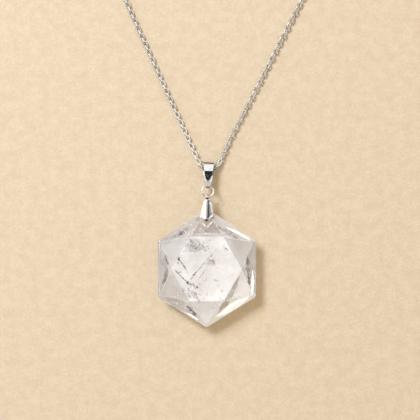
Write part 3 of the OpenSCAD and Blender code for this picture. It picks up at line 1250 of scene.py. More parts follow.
HAIRS = (
    Hairs("hole_hairs", Tint.PALE, (-1.6, 12.0), (4.2, 2.6), 16, (0.5, 1.4), 3),
    Hairs("high_left_hairs", Tint.PALE, (-5.4, 12.0), (1.9, 1.1), 8, (0.5, 1.2), 5),
    Hairs("high_right_hairs", Tint.SMOKE, (5.6, 11.2), (3.0, 2.0), 9, (0.5, 1.5), 7, 0.2),
    Hairs("cloud_hairs", Tint.DARK, (-2.8, 7.2), (5.0, 2.8), 18, (0.4, 1.3), 11),
    Hairs("curl_hairs", Tint.DARK, (-4.2, -6.8), (5.0, 3.6), 20, (0.6, 1.8), 13, 0.18, 0.9),
    Hairs("curl_light_hairs", Tint.PALE, (-4.4, -7.2), (4.6, 3.2), 18, (0.6, 1.8), 17, 0.24, 0.9),
    Hairs("middle_hairs", Tint.SMOKE, (1.2, 1.6), (3.4, 2.4), 14, (0.5, 1.6), 19, 0.2),
    Hairs("right_hairs", Tint.SMOKE, (6.4, 3.6), (4.0, 5.0), 12, (0.6, 1.6), 23),
    Hairs("right_low_hairs", Tint.SMOKE, (2.4, -6.6), (5.0, 3.6), 12, (0.5, 1.5), 29),
    Hairs("right_side_hairs", Tint.DARK, (12.8, 0.2), (0.8, 6.0), 12, (0.5, 1.6), 31, 0.2),
    Hairs("left_side_hairs", Tint.DARK, (-12.2, 0.6), (0.8, 4.6), 9, (0.5, 1.4), 37, 0.2),
    Hairs("strip_hairs", Tint.DARK, (7.2, -10.8), (3.4, 3.4), 12, (0.4, 1.2), 41),
)
FLECKS = (
    Flecks("cluster_left", (-8.5, 3.0), (0.4, 0.9), 6, (0.24, 0.46), 41),
    Flecks("cluster_knot", (-5.9, -4.0), (0.4, 0.4), 4, (0.3, 0.5), 43),
    Flecks("cluster_knob", (-2.9, -5.4), (0.5, 0.3), 3, (0.24, 0.4), 45),
    Flecks("cluster_line", (-8.4, -1.2), (1.0, 0.9), 6, (0.16, 0.32), 67),
    Flecks("cluster_low", (-4.4, -7.0), (3.4, 2.6), 22, (0.1, 0.26), 47),
    Flecks("cluster_top", (-2.6, 7.0), (5.0, 2.2), 26, (0.1, 0.26), 53),
    Flecks("cluster_mid", (1.2, 1.9), (2.2, 1.6), 12, (0.1, 0.2), 59),
    Flecks("cluster_strip", (6.0, -9.6), (1.6, 2.8), 8, (0.12, 0.26), 61),
)


@dataclass(frozen=True)
class StoneFlawsAndGlints:
    """Haze, cracks, hairlines and grains of one stone, with its painted highlights and painted
    reflection.
    """

    stone: QuartzStone
    # Seed of the noise that shakes the cracks, which would otherwise change from run to run
    seed: int = 1

    def make(self) -> None:
        """Builds the flaws and the painted highlights and dresses them."""
        noise.seed_set(self.seed)
        finishes = {tint: tint.value.material() for tint in Tint}
        dress(HAZE.build(), finishes[Tint.HAZE], Slot.QUARTZ)
        for drawn_mark in (*CRACKS_AND_GLINTS, *HAIRS):
            dress(drawn_mark.build(self.stone), finishes[drawn_mark.tint], Slot.QUARTZ)
        mineral = Mineral().material()
        for flecks in FLECKS:
            dress(flecks.build(self.stone), mineral, Slot.QUARTZ)


# The metal pieces


@dataclass
class HangLine:
    """Line from the stone's hole that the bails and the ring follow, with what they share."""

    stone: QuartzStone
    # Degrees that the line leans to the right
    lean: float = 2.3
    leaf_gap: float = 0.15
    neck_len: float = 1.0
    loop_w: float = 1.2
    ring_od: float = 4.2
    ring_wire: float = 0.6
    ring_gap: float = 0.2
    # Degrees that the ring falls towards the surface
    ring_drop: float = 14.0
    snap_len: float = 6.3
    strip_t: float = 0.35
    chain_w: float = 1.64
    chain_gap: float = 0.42
    chain_tube_sides: int = 8

    def __post_init__(self) -> None:
        """Works out the seats from the stone's hole to the snap bail's wide eye."""
        stone = self.stone
        crown_top = stone.outline(stone.bevel_w)[0][1]
        fall = stone.high.z - stone.mid_z - stone.crown_z
        self.facet_slope = fall / (crown_top - stone.table_h / 2)
        self.facet_angle = math.atan(self.facet_slope)
        self.leaf_z = (
            stone.crown_z
            + (crown_top - stone.hole_y) * self.facet_slope
            + self.leaf_gap / math.cos(self.facet_angle)
        )
        self.meet_y = self.leaf_z / self.facet_slope
        self.ring_r = (self.ring_od - self.ring_wire) / 2
        bow = self.ring_r - math.sqrt(self.ring_r**2 - self.loop_w**2 / 4)
        self.loop_bore = self.ring_wire + 2 * (self.ring_gap / 2 + bow)
        self.loop_y = self.meet_y + self.neck_len + self.loop_bore / 2
        drop = math.radians(self.ring_drop)
        self.ring_far_y = self.loop_y + 2 * self.ring_r * math.cos(drop)
        self.ring_far_z = stone.mid_z - 2 * self.ring_r * math.sin(drop)
        self.narrow_in = self.ring_wire / 2 + self.ring_gap + bow
        self.narrow_out = self.narrow_in + self.strip_t
        tube_r = self.chain_w / 2 / math.cos(math.pi / self.chain_tube_sides)
        self.wide_in = tube_r + self.chain_gap
        self.wide_out = self.wide_in + self.strip_t
        self.snap_drop = math.asin((self.ring_far_z - self.wide_out) / self.snap_len)
        self.wide_y = self.ring_far_y + self.snap_len * math.cos(self.snap_drop)

    @property
    def place(self) -> Matrix:
        """Turn and place of the line, from the hole at the middle of the stone."""
        turn = Matrix.Rotation(-math.radians(self.lean), 4, "Z")
        return Matrix.Translation((0, self.stone.hole_y, self.stone.mid_z)) @ turn

    @property
    def eye_at(self) -> Spot:
        """Place of the snap bail's wide eye, seen from above."""
        lean = math.radians(self.lean)
        return self.wide_y * math.sin(lean), self.stone.hole_y + self.wide_y * math.cos(lean)


@dataclass
class Rib:
    """One row of a piece's wall, with places as y and z and its half width along x."""

    outer: Spot
    edge: Spot
    inner: Spot
    half: float
    # How late the outer face falls from its middle to its edge
    curve: float
    # How far the edge itself is rolled in to the inner face
    rolled: float = 0.35

    def points(self, columns: Sequence[float]) -> tuple[list[Vector], list[Vector]]:
        """Gives the row's outer and inner points.

        Args:
            columns: Places across the row, from -1 to 1.

        Returns:
            The outer points and the inner points.
        """
        outer, inner = [], []
        for u in columns:
            share = abs(u) ** self.curve
            y, z = (mix(mid, rim, share) for mid, rim in zip(self.outer, self.edge))
            if abs(u) == 1:
                y, z = mix(y, self.inner[0], self.rolled), mix(z, self.inner[1], self.rolled)
            outer.append(Vector((u * self.half, y, z)))
            inner.append(Vector((u * self.half, *self.inner)))
        return outer, inner


@dataclass
class PinchBail:
    """Bail with two keeled leaves, their pegs, a shouldered neck and a small loop."""

    line: HangLine
    leaf_past: float = 1.4
    edge_t: float = 0.3
    peg_d: float = 1.0
    peg_len: float = 1.3
    peg_sides: int = 24
    loop_wall: float = 0.3
    # Share of the loop's wall that is worn off along its edges
    loop_worn: float = 0.3
    edge_round: float = 0.04
    # Degrees over which an edge is broken, and over which it stays sharp when shaded
    sharp_edge: float = 38.0
    sharp_shade: float = 16.0
    columns: tuple[float, ...] = (-1, -0.84, -0.6, -0.3, 0, 0.2, 0.4, 0.62, 0.84, 1)
    # Rows of the leaf, how much closer they stand at its tip, and where they end before the neck
    leaf_rows: int = 18
    leaf_closer: float = 1.5
    leaf_end: float = 0.3
    # Length over which the leaf thins to its tip, and the share of its thickness left there
    tip_roll: float = 0.8
    tip_share: float = 0.2
    # How late the outer faces of leaf, neck and loop fall to their edges
    leaf_curve: float = 1.6
    neck_curve: float = 2.2
    loop_curve: float = 3.0
    leaf_rolled: float = 0.4
    # Share of the neck's depth that its edges keep
    neck_edge: float = 0.5
    # Distance from the leaf's tip, half width and the ridge's height over the edges
    leaf: Table = (
        (0, 0.2, 0.5),
        (1.66, 2.175, 0.5),
        (2.73, 2.02, 0.5),
        (4.39, 1.72, 0.45),
        (6.65, 1.2, 0.35),
    )
    # Share of the neck that the outer and the inner face have reached, depth and half width
    neck: Table = (
        (0.16, 0.1, 0.62, 1.2),
        (0.36, 0.4, 0.5, 1.02),
        (0.55, 0.7, 0.44, 0.8),
        (0.85, 1, 0.5, 0.62),
    )
    # Degrees up the loop of the outer and the inner face
    loop: Table = ((-35, -60), (-12, -28), (14, 4), (40, 34), (65, 62), (90, 90))

    def leaf_ribs(self) -> Iterator[Rib]:
        """Gives the rows of the front leaf, from its tip.

        Yields:
            The rows.
        """
        line = self.line
        fall, rise = math.cos(line.facet_angle), math.sin(line.facet_angle)
        length = (line.meet_y + self.leaf_past) / fall
        for i in range(self.leaf_rows):
            share = (i / (self.leaf_rows - 1)) ** self.leaf_closer
            from_tip = (length - self.leaf_end) * share
            half, ridge = along(self.leaf, from_tip)
            back = length - from_tip
            inner = line.meet_y - back * fall, back * rise
            widest_at, widest = self.leaf[1][:2]
            flank = ridge * (1 - half / widest) if from_tip < widest_at else 0
            roll = min(self.tip_share + from_tip / self.tip_roll, 1)
            over, edge = (self.edge_t + ridge) * roll, (self.edge_t + flank) * roll
            yield Rib(
                (inner[0] + over * rise, inner[1] + over * fall),
                (inner[0] + edge * rise, inner[1] + edge * fall),
                inner,
                half,
                self.leaf_curve,
                self.leaf_rolled,
            )

    def neck_ribs(self) -> Iterator[Rib]:
        """Gives the rows of the neck, away from the leaf.

        Yields:
            The rows.
        """
        line = self.line
        for outer_share, inner_share, depth, half in self.neck:
            y = line.meet_y + outer_share * line.neck_len
            inner_y = line.meet_y + inner_share * line.neck_len
            edge = y, depth * self.neck_edge
            yield Rib((y, depth), edge, (inner_y, 0), half, self.neck_curve)

    def loop_ribs(self) -> Iterator[Rib]:
        """Gives the rows of the front half of the loop, up to its top.

        Yields:
            The rows.
        """
        line = self.line
        bore = line.loop_bore / 2
        rim = bore + self.loop_wall
        worn = rim - self.loop_wall * self.loop_worn
        for outer_deg, inner_deg in self.loop:
            up, under = math.radians(outer_deg), math.radians(inner_deg)
            yield Rib(
                (line.loop_y + rim * math.sin(up), rim * math.cos(up)),
                (line.loop_y + worn * math.sin(up), worn * math.cos(up)),
                (line.loop_y + bore * math.sin(under), bore * math.cos(under)),
                line.loop_w / 2,
                self.loop_curve,
            )

    def build(self) -> bpy.types.Object:
        """Shapes the front half with its peg and mirrors it to the back.

        Returns:
            The bail, settled in metres.
        """
        ribs = (*self.leaf_ribs(), *self.neck_ribs(), *self.loop_ribs())
        rows = [rib.points(self.columns) for rib in ribs]
        bail = wall_between("pinch_bail_skin", [row[0] for row in rows], [row[1] for row in rows])
        peg_low = self.line.leaf_z - self.line.leaf_gap - self.peg_len
        peg_high = self.line.leaf_z + self.edge_t
        bpy.ops.mesh.primitive_cylinder_add(
            vertices=self.peg_sides,
            radius=self.peg_d / 2,
            depth=peg_high - peg_low,
            location=(0, 0, (peg_low + peg_high) / 2),
        )
        merge(bail, bpy.context.object, Merge.ADD)
        with editing(bail) as mesh:
            for face in mesh.faces:
                face.select = all(abs(corner.co.z) < ON_CUT for corner in face.verts)
            bpy.ops.mesh.delete(type="FACE")
        finish_with(bail, "MIRROR", use_axis=(False, False, True), merge_threshold=MERGED)
        break_edges(bail, self.edge_round, self.sharp_edge)
        smooth(bail, self.sharp_shade)
        return settle(bail, self.line.place)

    def make(self, finish: bpy.types.Material) -> None:
        """Builds the bail and dresses it."""
        dress(self.build(), finish, Slot.POLISHED, "pinch_bail")


@dataclass
class SnapBail:
    """Strip folded over the chain, wide at the fold and curled round the ring at its ends."""

    line: HangLine
    width: float = 4.1
    edge_round: float = 0.03
    # Degrees over which an edge is broken, and over which it stays sharp when shaded
    sharp_edge: float = 50.0
    sharp_shade: float = 6.0
    # Places across the strip: to 1 over its flat middle, and on to 2 at its side edge
    columns: tuple[float, ...] = (-2, -1.5, -1, -0.5, 0, 0.5, 1, 1.5, 2)
    # Share of the whole length from the narrow end and share of the widest half
    outline: Table = ((0, 0.26), (0.06, 0.38), (0.14, 0.48), (0.55, 0.8), (1, 1))
    # Distance from the narrow end, half width of the flat middle and depth of its dip
    front: Table = (
        (0.9, 0.04, 0),
        (2.18, 0.04, 0.364),
        (2.6, 0.42, 0.314),
        (3.1, 0.76, 0.255),
        (3.9, 1.12, 0.16),
        (5.25, 1.33, 0.0),
        (5.6, 1.38, 0.0),
        (7.7, 1.62, 0.0),
        (9, 1.7, 0.0),
    )
    # Most that the flat middle takes of the half width
    flat_most: float = 0.85
    # Shares of the dip that are lost at the side edges and that the inner face follows
    dip_lost: float = 0.4
    dip_inside: float = 0.3
    # Distance from the narrow end and drop of the side edges
    edge_drop: Table = ((0, 0.03), (2, 0.04), (3.6, 0.3), (9, 0.3))
    # How much more the inner face drops there, the share of the strip that is worn off them and
    # the least that is left of it anywhere
    inner_drop: float = 0.14
    edge_worn: float = 0.5
    thinnest: float = 0.12
    # Degrees round the narrow end at which the tongue and the back end
    tongue_end: float = 128.0
    back_end: float = 158.0
    # Steps of the tongue's curl, the fold and the back's curl
    tongue_steps: int = 9
    fold_steps: int = 44
    back_steps: int = 26
    # Shares of the straight stretch with the last row of the front and the rows of the back
    front_last: float = 0.85
    back_rows: tuple[float, ...] = (0.75, 0.5, 0.25)

    def path(self) -> Iterator[tuple[float, float, float, float]]:
        """Gives the outer face's middle line, from the tongue over the fold to the back end.

        Yields:
            The place as y and z, the outward direction in degrees, and 1 on the front or 0.
        """
        line = self.line
        lean = math.degrees(math.asin((line.wide_out - line.narrow_out) / line.snap_len))
        turn = 90 + lean
        small, large = line.narrow_out, line.wide_out
        for i in range(self.tongue_steps + 1):
            deg = mix(self.tongue_end, turn, i / self.tongue_steps)
            yield small * cos_deg(deg), small * sin_deg(deg), deg, 1
        starts = (small * cos_deg(turn), small * sin_deg(turn))
        ends = (line.snap_len + large * cos_deg(turn), large * sin_deg(turn))
        # The table's rows that lie on the straight stretch are rows of the front
        length = ends[0] - starts[0]
        shares = [(row[0] - small - starts[0]) / length for row in self.front[1:-2]]
        for share in (*shares, self.front_last):
            yield mix(starts[0], ends[0], share), mix(starts[1], ends[1], share), turn, 1
        for i in range(self.fold_steps + 1):
            deg = mix(turn, -turn, i / self.fold_steps)
            yield line.snap_len + large * cos_deg(deg), large * sin_deg(deg), deg, deg > 0
        for share in self.back_rows:
            yield mix(starts[0], ends[0], share), -mix(starts[1], ends[1], share), -turn, 0
        for i in range(self.back_steps + 1):
            deg = mix(-turn, self.back_end - 360, i / self.back_steps)
            yield small * cos_deg(deg), small * sin_deg(deg), deg, 0

    def depths(self, over: float, edge_drop: float, dip: float) -> tuple[float, float]:
        """Gives how deep the two faces lie under the fold's middle line.

        Args:
            over: How far over the flat middle the place is, from 0 to 1 at the side edge.
            edge_drop: Drop of the side edges there.
            dip: Depth of the middle's dip there.

        Returns:
            The depths of the outer and the inner face.
        """
        outer = over * edge_drop + dip * (1 - over * self.dip_lost)
        strip = self.line.strip_t
        inner = strip + over * (edge_drop + self.inner_drop - strip * self.edge_worn)
        return outer, max(inner, outer + self.thinnest) + dip * self.dip_inside

    def build(self) -> bpy.types.Object:
        """Folds the strip.

        Returns:
            The bail, settled in metres.
        """
        line = self.line
        length = line.narrow_out + line.snap_len + line.wide_out
        outer, inner = [], []
        for y, z, deg, front in self.path():
            from_end = y + line.narrow_out
            half = straight(self.outline, from_end / length)[0] * self.width / 2
            flat, dip = straight(self.front, from_end)
            flat = min(flat, half * self.flat_most)
            edge_drop = straight(self.edge_drop, from_end)[0]
            rows = ([], [])
            for column in self.columns:
                over = max(abs(column) - 1, 0)
                across = mix(min(abs(column), 1) * flat, half, over)
                for row, depth in zip(rows, self.depths(over, edge_drop, front * dip)):
                    row.append(Vector((
                        math.copysign(across, column),
                        y - depth * cos_deg(deg),
                        z - depth * sin_deg(deg),
                    )))
            outer.append(rows[0])
            inner.append(rows[1])
        bail = wall_between("snap_bail_fold", outer, inner)
        break_edges(bail, self.edge_round, self.sharp_edge)
        smooth(bail, self.sharp_shade)
        seat = Matrix.Translation((0, line.ring_far_y, line.ring_far_z - line.stone.mid_z))
        tilt = Matrix.Rotation(-line.snap_drop, 4, "X")
        return settle(bail, line.place @ seat @ tilt)

    def make(self, finish: bpy.types.Material) -> None:
        """Builds the bail and dresses it."""
        dress(self.build(), finish, Slot.POLISHED, "snap_bail")


@dataclass
class WireRing:
    """Ring of round wire that is cut once and closed."""

    name: str
    radius: float
    wire: float
    # Where the cut is, in degrees, and its width
    cut_deg: float
    cut: float = 0.02
    steps: int = 48
    sides: int = 12

    def build(self) -> bpy.types.Object:
        """Spins the wire's section round the Z axis.

        Returns:
            The ring, in millimetres.
        """
        bpy.ops.mesh.primitive_circle_add(
            vertices=self.sides, radius=self.wire / 2, fill_type="NGON"
        )
        ring = bpy.context.object
        ring.name = ring.data.name = self.name
        ring.matrix_world = Matrix.Rotation(math.radians(self.cut_deg), 4, "Z") @ (
            Matrix.Translation((self.radius, 0, 0)) @ Matrix.Rotation(math.pi / 2, 4, "X")
        )
        pick(ring)
        bpy.ops.object.transform_apply(location=True, rotation=True, scale=True)
        with editing(ring):
            bpy.ops.mesh.select_all(action="SELECT")
            bpy.ops.mesh.spin(
                steps=self.steps,
                angle=2 * math.pi - self.cut / self.radius,
                center=(0, 0, 0),
                axis=(0, 0, 1),
            )
            bpy.ops.mesh.select_all(action="SELECT")
            bpy.ops.mesh.normals_make_consistent(inside=False)
        smooth(ring)
        return ring


@dataclass
class JumpRing:
    """Ring that passes through the pinch bail's loop and the snap bail's narrow eye."""

    line: HangLine
    cut_deg: float = -20.0

    def build(self) -> bpy.types.Object:
        """Lays the ring from the loop down to the narrow eye.

        Returns:
            The ring, settled in metres.
        """
        line = self.line
        ring = WireRing("jump_ring_wire", line.ring_r, line.ring_wire, self.cut_deg).build()
        slope = Matrix.Rotation(-math.radians(line.ring_drop), 4, "X")
        middle = Matrix.Translation((0, line.ring_r, 0))
        seat = Matrix.Translation((0, line.loop_y, 0)) @ slope @ middle
        return settle(ring, line.place @ seat)

    def make(self, finish: bpy.types.Material) -> None:
        """Builds the ring and dresses it."""
        dress(self.build(), finish, Slot.POLISHED, "jump_ring")


@dataclass
class Clasp:
    """Plain closing ring with its small eye, one piece of metal, and the two end rings."""

    line: HangLine
    # Its place from the snap bail's wide eye
    right: float = 3.0
    above: float = 178.5
    outer_d: float = 6.0
    wire: float = 1.2
    # Width of the seam that closes the two rings, and steps round the larger one
    seam: float = 0.002
    steps: int = 64
    eye_d: float = 2.8
    eye_wire: float = 0.6
    end_d: float = 3.4
    end_wire: float = 0.5
    # Degrees that the end rings lean, and where each is cut
    end_lean: float = 45.0
    left_cut: float = 60.0
    right_cut: float = 240.0
    gap: float = 0.15

    def __post_init__(self) -> None:
        """Works out where the rings lie."""
        self.radius = (self.outer_d - self.wire) / 2
        self.eye_r = (self.eye_d - self.eye_wire) / 2
        self.eye_x = self.outer_d / 2 + self.eye_r
        self.z = self.end_wire + self.gap + self.wire / 2
        self.end_r = (self.end_d - self.end_wire) / 2
        self.end_z = self.end_r * sin_deg(self.end_lean) + self.end_wire / 2
        self.left_x = -self.radius
        self.right_x = self.eye_x + self.end_r

    def at(self, x: float, z: float) -> Matrix:
        """Gives a place on the clasp's line, at a height over the surface."""
        eye = self.line.eye_at
        return Matrix.Translation((eye[0] + self.right + x, eye[1] + self.above, z))

    def build(self) -> bpy.types.Object:
        """Joins the ring and its eye into one closed piece.

        Returns:
            The clasp, settled in metres.
        """
        clasp = WireRing("clasp_ring", self.radius, self.wire, 0, self.seam, self.steps).build()
        eye = WireRing("eye", self.eye_r, self.eye_wire, 0, self.seam).build()
        eye.matrix_world = Matrix.Translation((self.eye_x, 0, 0))
        merge(clasp, eye, Merge.ADD)
        smooth(clasp)
        return settle(clasp, self.at(0, self.z))

    def build_end(self, name: str, x: float, cut_deg: float) -> bpy.types.Object:
        """Makes one of the two end rings, which lean on the surface.

        Args:
            name: Name of the ring.
            x: Its place on the clasp's line.
            cut_deg: Where its cut is.

        Returns:
            The ring, settled in metres.
        """
        ring = WireRing(name, self.end_r, self.end_wire, cut_deg).build()
        lean = Matrix.Rotation(math.radians(self.end_lean), 4, "X")
        return settle(ring, self.at(x, self.end_z) @ lean)

    def make(self, finish: bpy.types.Material) -> None:
        """Builds the clasp and its end rings and dresses them.

        Args:
            finish: Their silver.
        """
        dress(self.build(), finish, Slot.POLISHED, "clasp")
        left = self.build_end("left_end_wire", self.left_x, self.left_cut)
        dress(left, finish, Slot.POLISHED, "left_end_ring")
        right = self.build_end("right_end_wire", self.right_x, self.right_cut)
        dress(right, finish, Slot.POLISHED, "right_end_ring")


# Middle line of the chain in metres, from the left end ring round to the right one: right of
# the snap bail's wide eye, above it, and the share of the lift from the surface
ROUTE = (
    (-0.004, 0.1784, 0.3),
    (-0.0085, 0.1775, 0.06),
    (-0.0195, 0.174, 0),
    (-0.0295, 0.168, 0),
    (-0.038, 0.1605, 0),
    (-0.045, 0.151, 0),
    (-0.0495, 0.1405, 0),
    (-0.052, 0.129, 0),
    (-0.052, 0.117, 0),
    (-0.05, 0.106, 0),
    (-0.0455, 0.0955, 0),
    (-0.038, 0.0785, 0),
    (-0.03, 0.061, 0),
    (-0.0222, 0.0435, 0),
    (-0.015, 0.0275, 0),
    (-0.0093, 0.015, 0),
    (-0.0063, 0.0084, 0),
    (-0.0042, 0.0038, 0.4),
    (-0.0031, 0.0013, 0.8),
    (-0.0021, 0, 0.95),
    (-0.001, -0.0003, 1),
    (0, -0.00035, 1),
    (0.001, -0.00035, 1),
    (0.0021, -0.0002, 0.95),
    (0.0031, 0.001, 0.8),
    (0.0042, 0.0035, 0.4),
    (0.0065, 0.0082, 0),
    (0.0098, 0.0146, 0),
    (0.0162, 0.027, 0),
    (0.0244, 0.043, 0),
    (0.0327, 0.059, 0),
    (0.041, 0.0752, 0),
    (0.0495, 0.092, 0),
    (0.0555, 0.105, 0),
    (0.0584, 0.117, 0),
    (0.0584, 0.129, 0),
    (0.056, 0.1405, 0),
    (0.051, 0.151, 0),
    (0.0445, 0.1605, 0),
    (0.036, 0.168, 0),
    (0.0255, 0.174, 0),
    (0.016, 0.177, 0.06),
    (0.0128, 0.1782, 0.3),
)


@dataclass
class CableChain:
    """Cable chain of interlocking oval links along the whole route."""

    line: HangLine
    clasp: Clasp
    # How far the chain is lifted off the surface where it runs through the bail
    lift: float = 0.75
    # Radius of a link's round ends and how far each is drawn out from the middle
    bend_r: float = 0.57
    stretch_by: float = 0.35
    wire: float = 0.5
    around: int = 16
    wire_sides: int = 6
    pitch: float = 1.33
    # Degrees that the links are rolled at both ends and on the right arm, give or take some
    end_roll: float = 45.0
    right_roll: float = 45.0
    jitter: float = 4.0
    # Shares of the way between which the left arm isn't rolled, and from which the right one is
    left_flat: Spot = (0.06, 0.45)
    right_from: float = 0.56
    # Height over the surface from which a link no longer sinks on to it
    sink_height: float = 0.2
    # Steps of the middle line from one point of the route to the next
    steps: int = 24
    seed: int = 7

    def path(self) -> list[Vector]:
        """Gives the chain's middle line in close steps, in millimetres.

        Returns:
            The points, from the left end to the right.
        """
        eye, clasp = self.line.eye_at, self.clasp
        low = self.line.chain_w / 2
        rows = [(x / MM, y / MM, share) for x, y, share in ROUTE]
        # The end links hang on the end rings' wire
        hang = self.bend_r + self.stretch_by - self.wire / 2 - clasp.end_wire / 2
        share = (clasp.end_z - low) / self.lift
        left = clasp.right + clasp.left_x - clasp.end_r - hang
        right = clasp.right + clasp.right_x + clasp.end_r + hang
        rows = [(left, clasp.above, share), *rows, (right, clasp.above, share)]
        marks = [Vector((eye[0] + x, eye[1] + y, low + up * self.lift)) for x, y, up in rows]
        last = len(marks) - 1
        slopes = [(marks[min(i + 1, last)] - marks[max(i - 1, 0)]) / 2 for i in range(last + 1)]
        points = []
        for i in range(last):
            ends = marks[i], marks[i + 1], slopes[i], slopes[i + 1]
            points += [hermite(*ends, k / self.steps) for k in range(self.steps)]
        return [*points, marks[last]]

    def stations(self) -> Iterator[tuple[Vector, Vector, float]]:
        """Sets the links out along the chain's middle line.

        Yields:
            The middle, the direction and the share of the way of each link.
        """
        points = self.path()
        runs = [0.0]
        for before, after in zip(points, points[1:]):
            runs.append(runs[-1] + (after - before).length)
        count = 2 * round(runs[-1] / self.pitch / 2) + 1
        log.info("chain: %d links over %.1f mm", count, runs[-1])
        k = 0
        for i in range(count):
            run = runs[-1] * i / (count - 1)
            while k < len(runs) - 2 and runs[k + 1] < run:
                k += 1
            share = (run - runs[k]) / (runs[k + 1] - runs[k])
            ahead = (points[k + 1] - points[k]).normalized()
            yield points[k].lerp(points[k + 1], share), ahead, i / (count - 1)

    def link(self) -> bpy.types.Object:
        """Makes one oval link about the origin, long along X.

        Returns:
            The link, in millimetres.
        """
        bpy.ops.mesh.primitive_torus_add(
            major_radius=self.bend_r,
            minor_radius=self.wire / 2,
            major_segments=self.around,
            minor_segments=self.wire_sides,
        )
        link = bpy.context.object
        link.name = "link"
        with editing(link) as mesh:
            bpy.ops.mesh.select_all(action="SELECT")
            bpy.ops.transform.rotate(
                value=math.pi / self.around, orient_axis="Z", center_override=(0, 0, 0)
            )
            for side in (1, -1):
                select_where(mesh, lambda place: place.x * side > 0)
                bpy.ops.transform.translate(value=(side * self.stretch_by, 0, 0))
        smooth(link, degrees=60)
        return link

    def build(self) -> bpy.types.Object:
        """Strings the links along the route.

        Returns:
            The chain, settled in metres.
        """
        draw = random.Random(self.seed)
        pattern = self.link()
        links = []
        # Rolls by share of the way: left end, left arm, right arm and right end
        rolls = (
            (0, self.end_roll),
            *((at, 0) for at in self.left_flat),
            (self.right_from, self.right_roll),
            (1, self.end_roll),
        )
        for i, (place, ahead, share) in enumerate(self.stations()):
            roll = straight(rolls, share)[0] + draw.uniform(-1, 1) * self.jitter
            inside = 0 < i and share < 1
            roll = math.radians(roll if inside else self.end_roll)
            across = ahead.cross(Z_AXIS).normalized()
            above = across.cross(ahead)
            normal = above * math.cos(roll) + across * math.sin(roll)
            if i % 2:
                normal = ahead.cross(normal)
            side = normal.cross(ahead)
            height = place.z - self.line.chain_w / 2
            lying = 1 - min(max(height / self.sink_height, 0), 1)
            sunk = self.bend_r * (1 - max(abs(math.sin(roll)), abs(math.cos(roll)))) * lying
            link = pattern.copy()
            link.data = pattern.data.copy()
            turn = Matrix((ahead, side, normal)).transposed().to_4x4()
            link.matrix_world = Matrix.Translation(place - Z_AXIS * sunk) @ turn
            bpy.context.collection.objects.link(link)
            links.append(link)
        bpy.data.objects.remove(pattern)
        return settle(join("cable_chain", links))

    def make(self, finish: bpy.types.Material) -> None:
        """Builds the chain and dresses it."""
        dress(self.build(), finish, Slot.CHAIN, "chain")


# The studio


@dataclass(frozen=True)
class Card:
    """Flat card that the metal and the stone mirror, unseen by the camera itself."""

    name: str
    # Way from the pendant to the card, its size and how far off it hangs, in metres
    toward: Place
    size: Spot
    glow: Glow
    reach: float = 0.5
    # Whether it also shows through the stone
    through_stone: bool = True

    def build(self, middle: Vector) -> bpy.types.Object:
        """Sets the card up, facing the pendant.

        Args:
            middle: The place that it faces, in metres.

        Returns:
            The card.
        """
        bpy.ops.mesh.primitive_plane_add(size=1)
        card = bpy.context.object
        card.name = self.name
        toward = Vector(self.toward).normalized()
        card.location = middle + toward * self.reach
        card.rotation_mode = "QUATERNION"
        card.rotation_quaternion = (-toward).to_track_quat("Z", "Y")
        card.scale = (*self.size, 1)
        card.data.materials.append(self.glow.material())
        card.visible_camera = False
        card.visible_diffuse = False
        card.visible_shadow = False
        card.visible_transmission = self.through_stone
        return card


BLACK = Glow("black_card", (0, 0, 0), 0.0)
CARDS = (
    Card("white_strip", (0, 0.44, 0.9), (0.3, 0.125), Glow("white_strip", (1, 1, 1), 1.02)),
    Card("zenith_flag", (0, 0.22, 1), (0.28, 0.24), BLACK, 1.2, through_stone=False),
    Card("leaf_white", (-0.45, 0.7, 0.55), (0.24, 0.26), Glow("leaf_white", (1, 1, 1), 1.8)),
    Card("tongue_cream", (0, 0.74, 0.67), (0.12, 0.13), Glow("cream", (1, 0.9, 0.85), 0.7), 0.45),
    Card("leaf_dark", (0.225, 0.74, 0.6), (0.15, 0.26), Glow("leaf_dark", (1, 0.98, 0.95), 0.04), 0.47),
    Card("leaf_grey", (0.515, 0.65, 0.53), (0.16, 0.26), Glow("leaf_grey", (1, 0.98, 0.95), 0.3)),
    Card("leaf_streak", (0.537, 0.64, 0.52), (0.036, 0.26), Glow("leaf_streak", (1, 1, 1), 1.5), 0.48),
    Card("north_card", (0, 1, 0.22), (0.62, 0.34), BLACK, 0.6),
    Card("north_east_card", (0.75, 0.7, 0.22), (0.3, 0.26), BLACK, 0.6, through_stone=False),
    Card("south_card", (0, -0.81, 0.59), (0.6, 0.5), BLACK, 0.45, through_stone=False),
    Card("south_west_card", (-0.75, -0.66, 0.3), (0.4, 0.3), BLACK, 0.62, through_stone=False),
    Card("south_east_card", (0.75, -0.66, 0.3), (0.4, 0.3), BLACK, 0.62, through_stone=False),
    Card("south_cream", (0, -0.5, 0.86), (0.3, 0.3), Glow("south_cream", (1, 0.9, 0.85), 0.7)),
    Card("east_card", (1, 0.1, 0.12), (0.9, 0.2), Glow("east_card", (0.3, 0.28, 0.25), 0.5), 0.6),
    Card("west_card", (-1, 0.1, 0.35), (0.6, 0.16), Glow("west_card", (1, 1, 1), 1.5), 0.6),
)


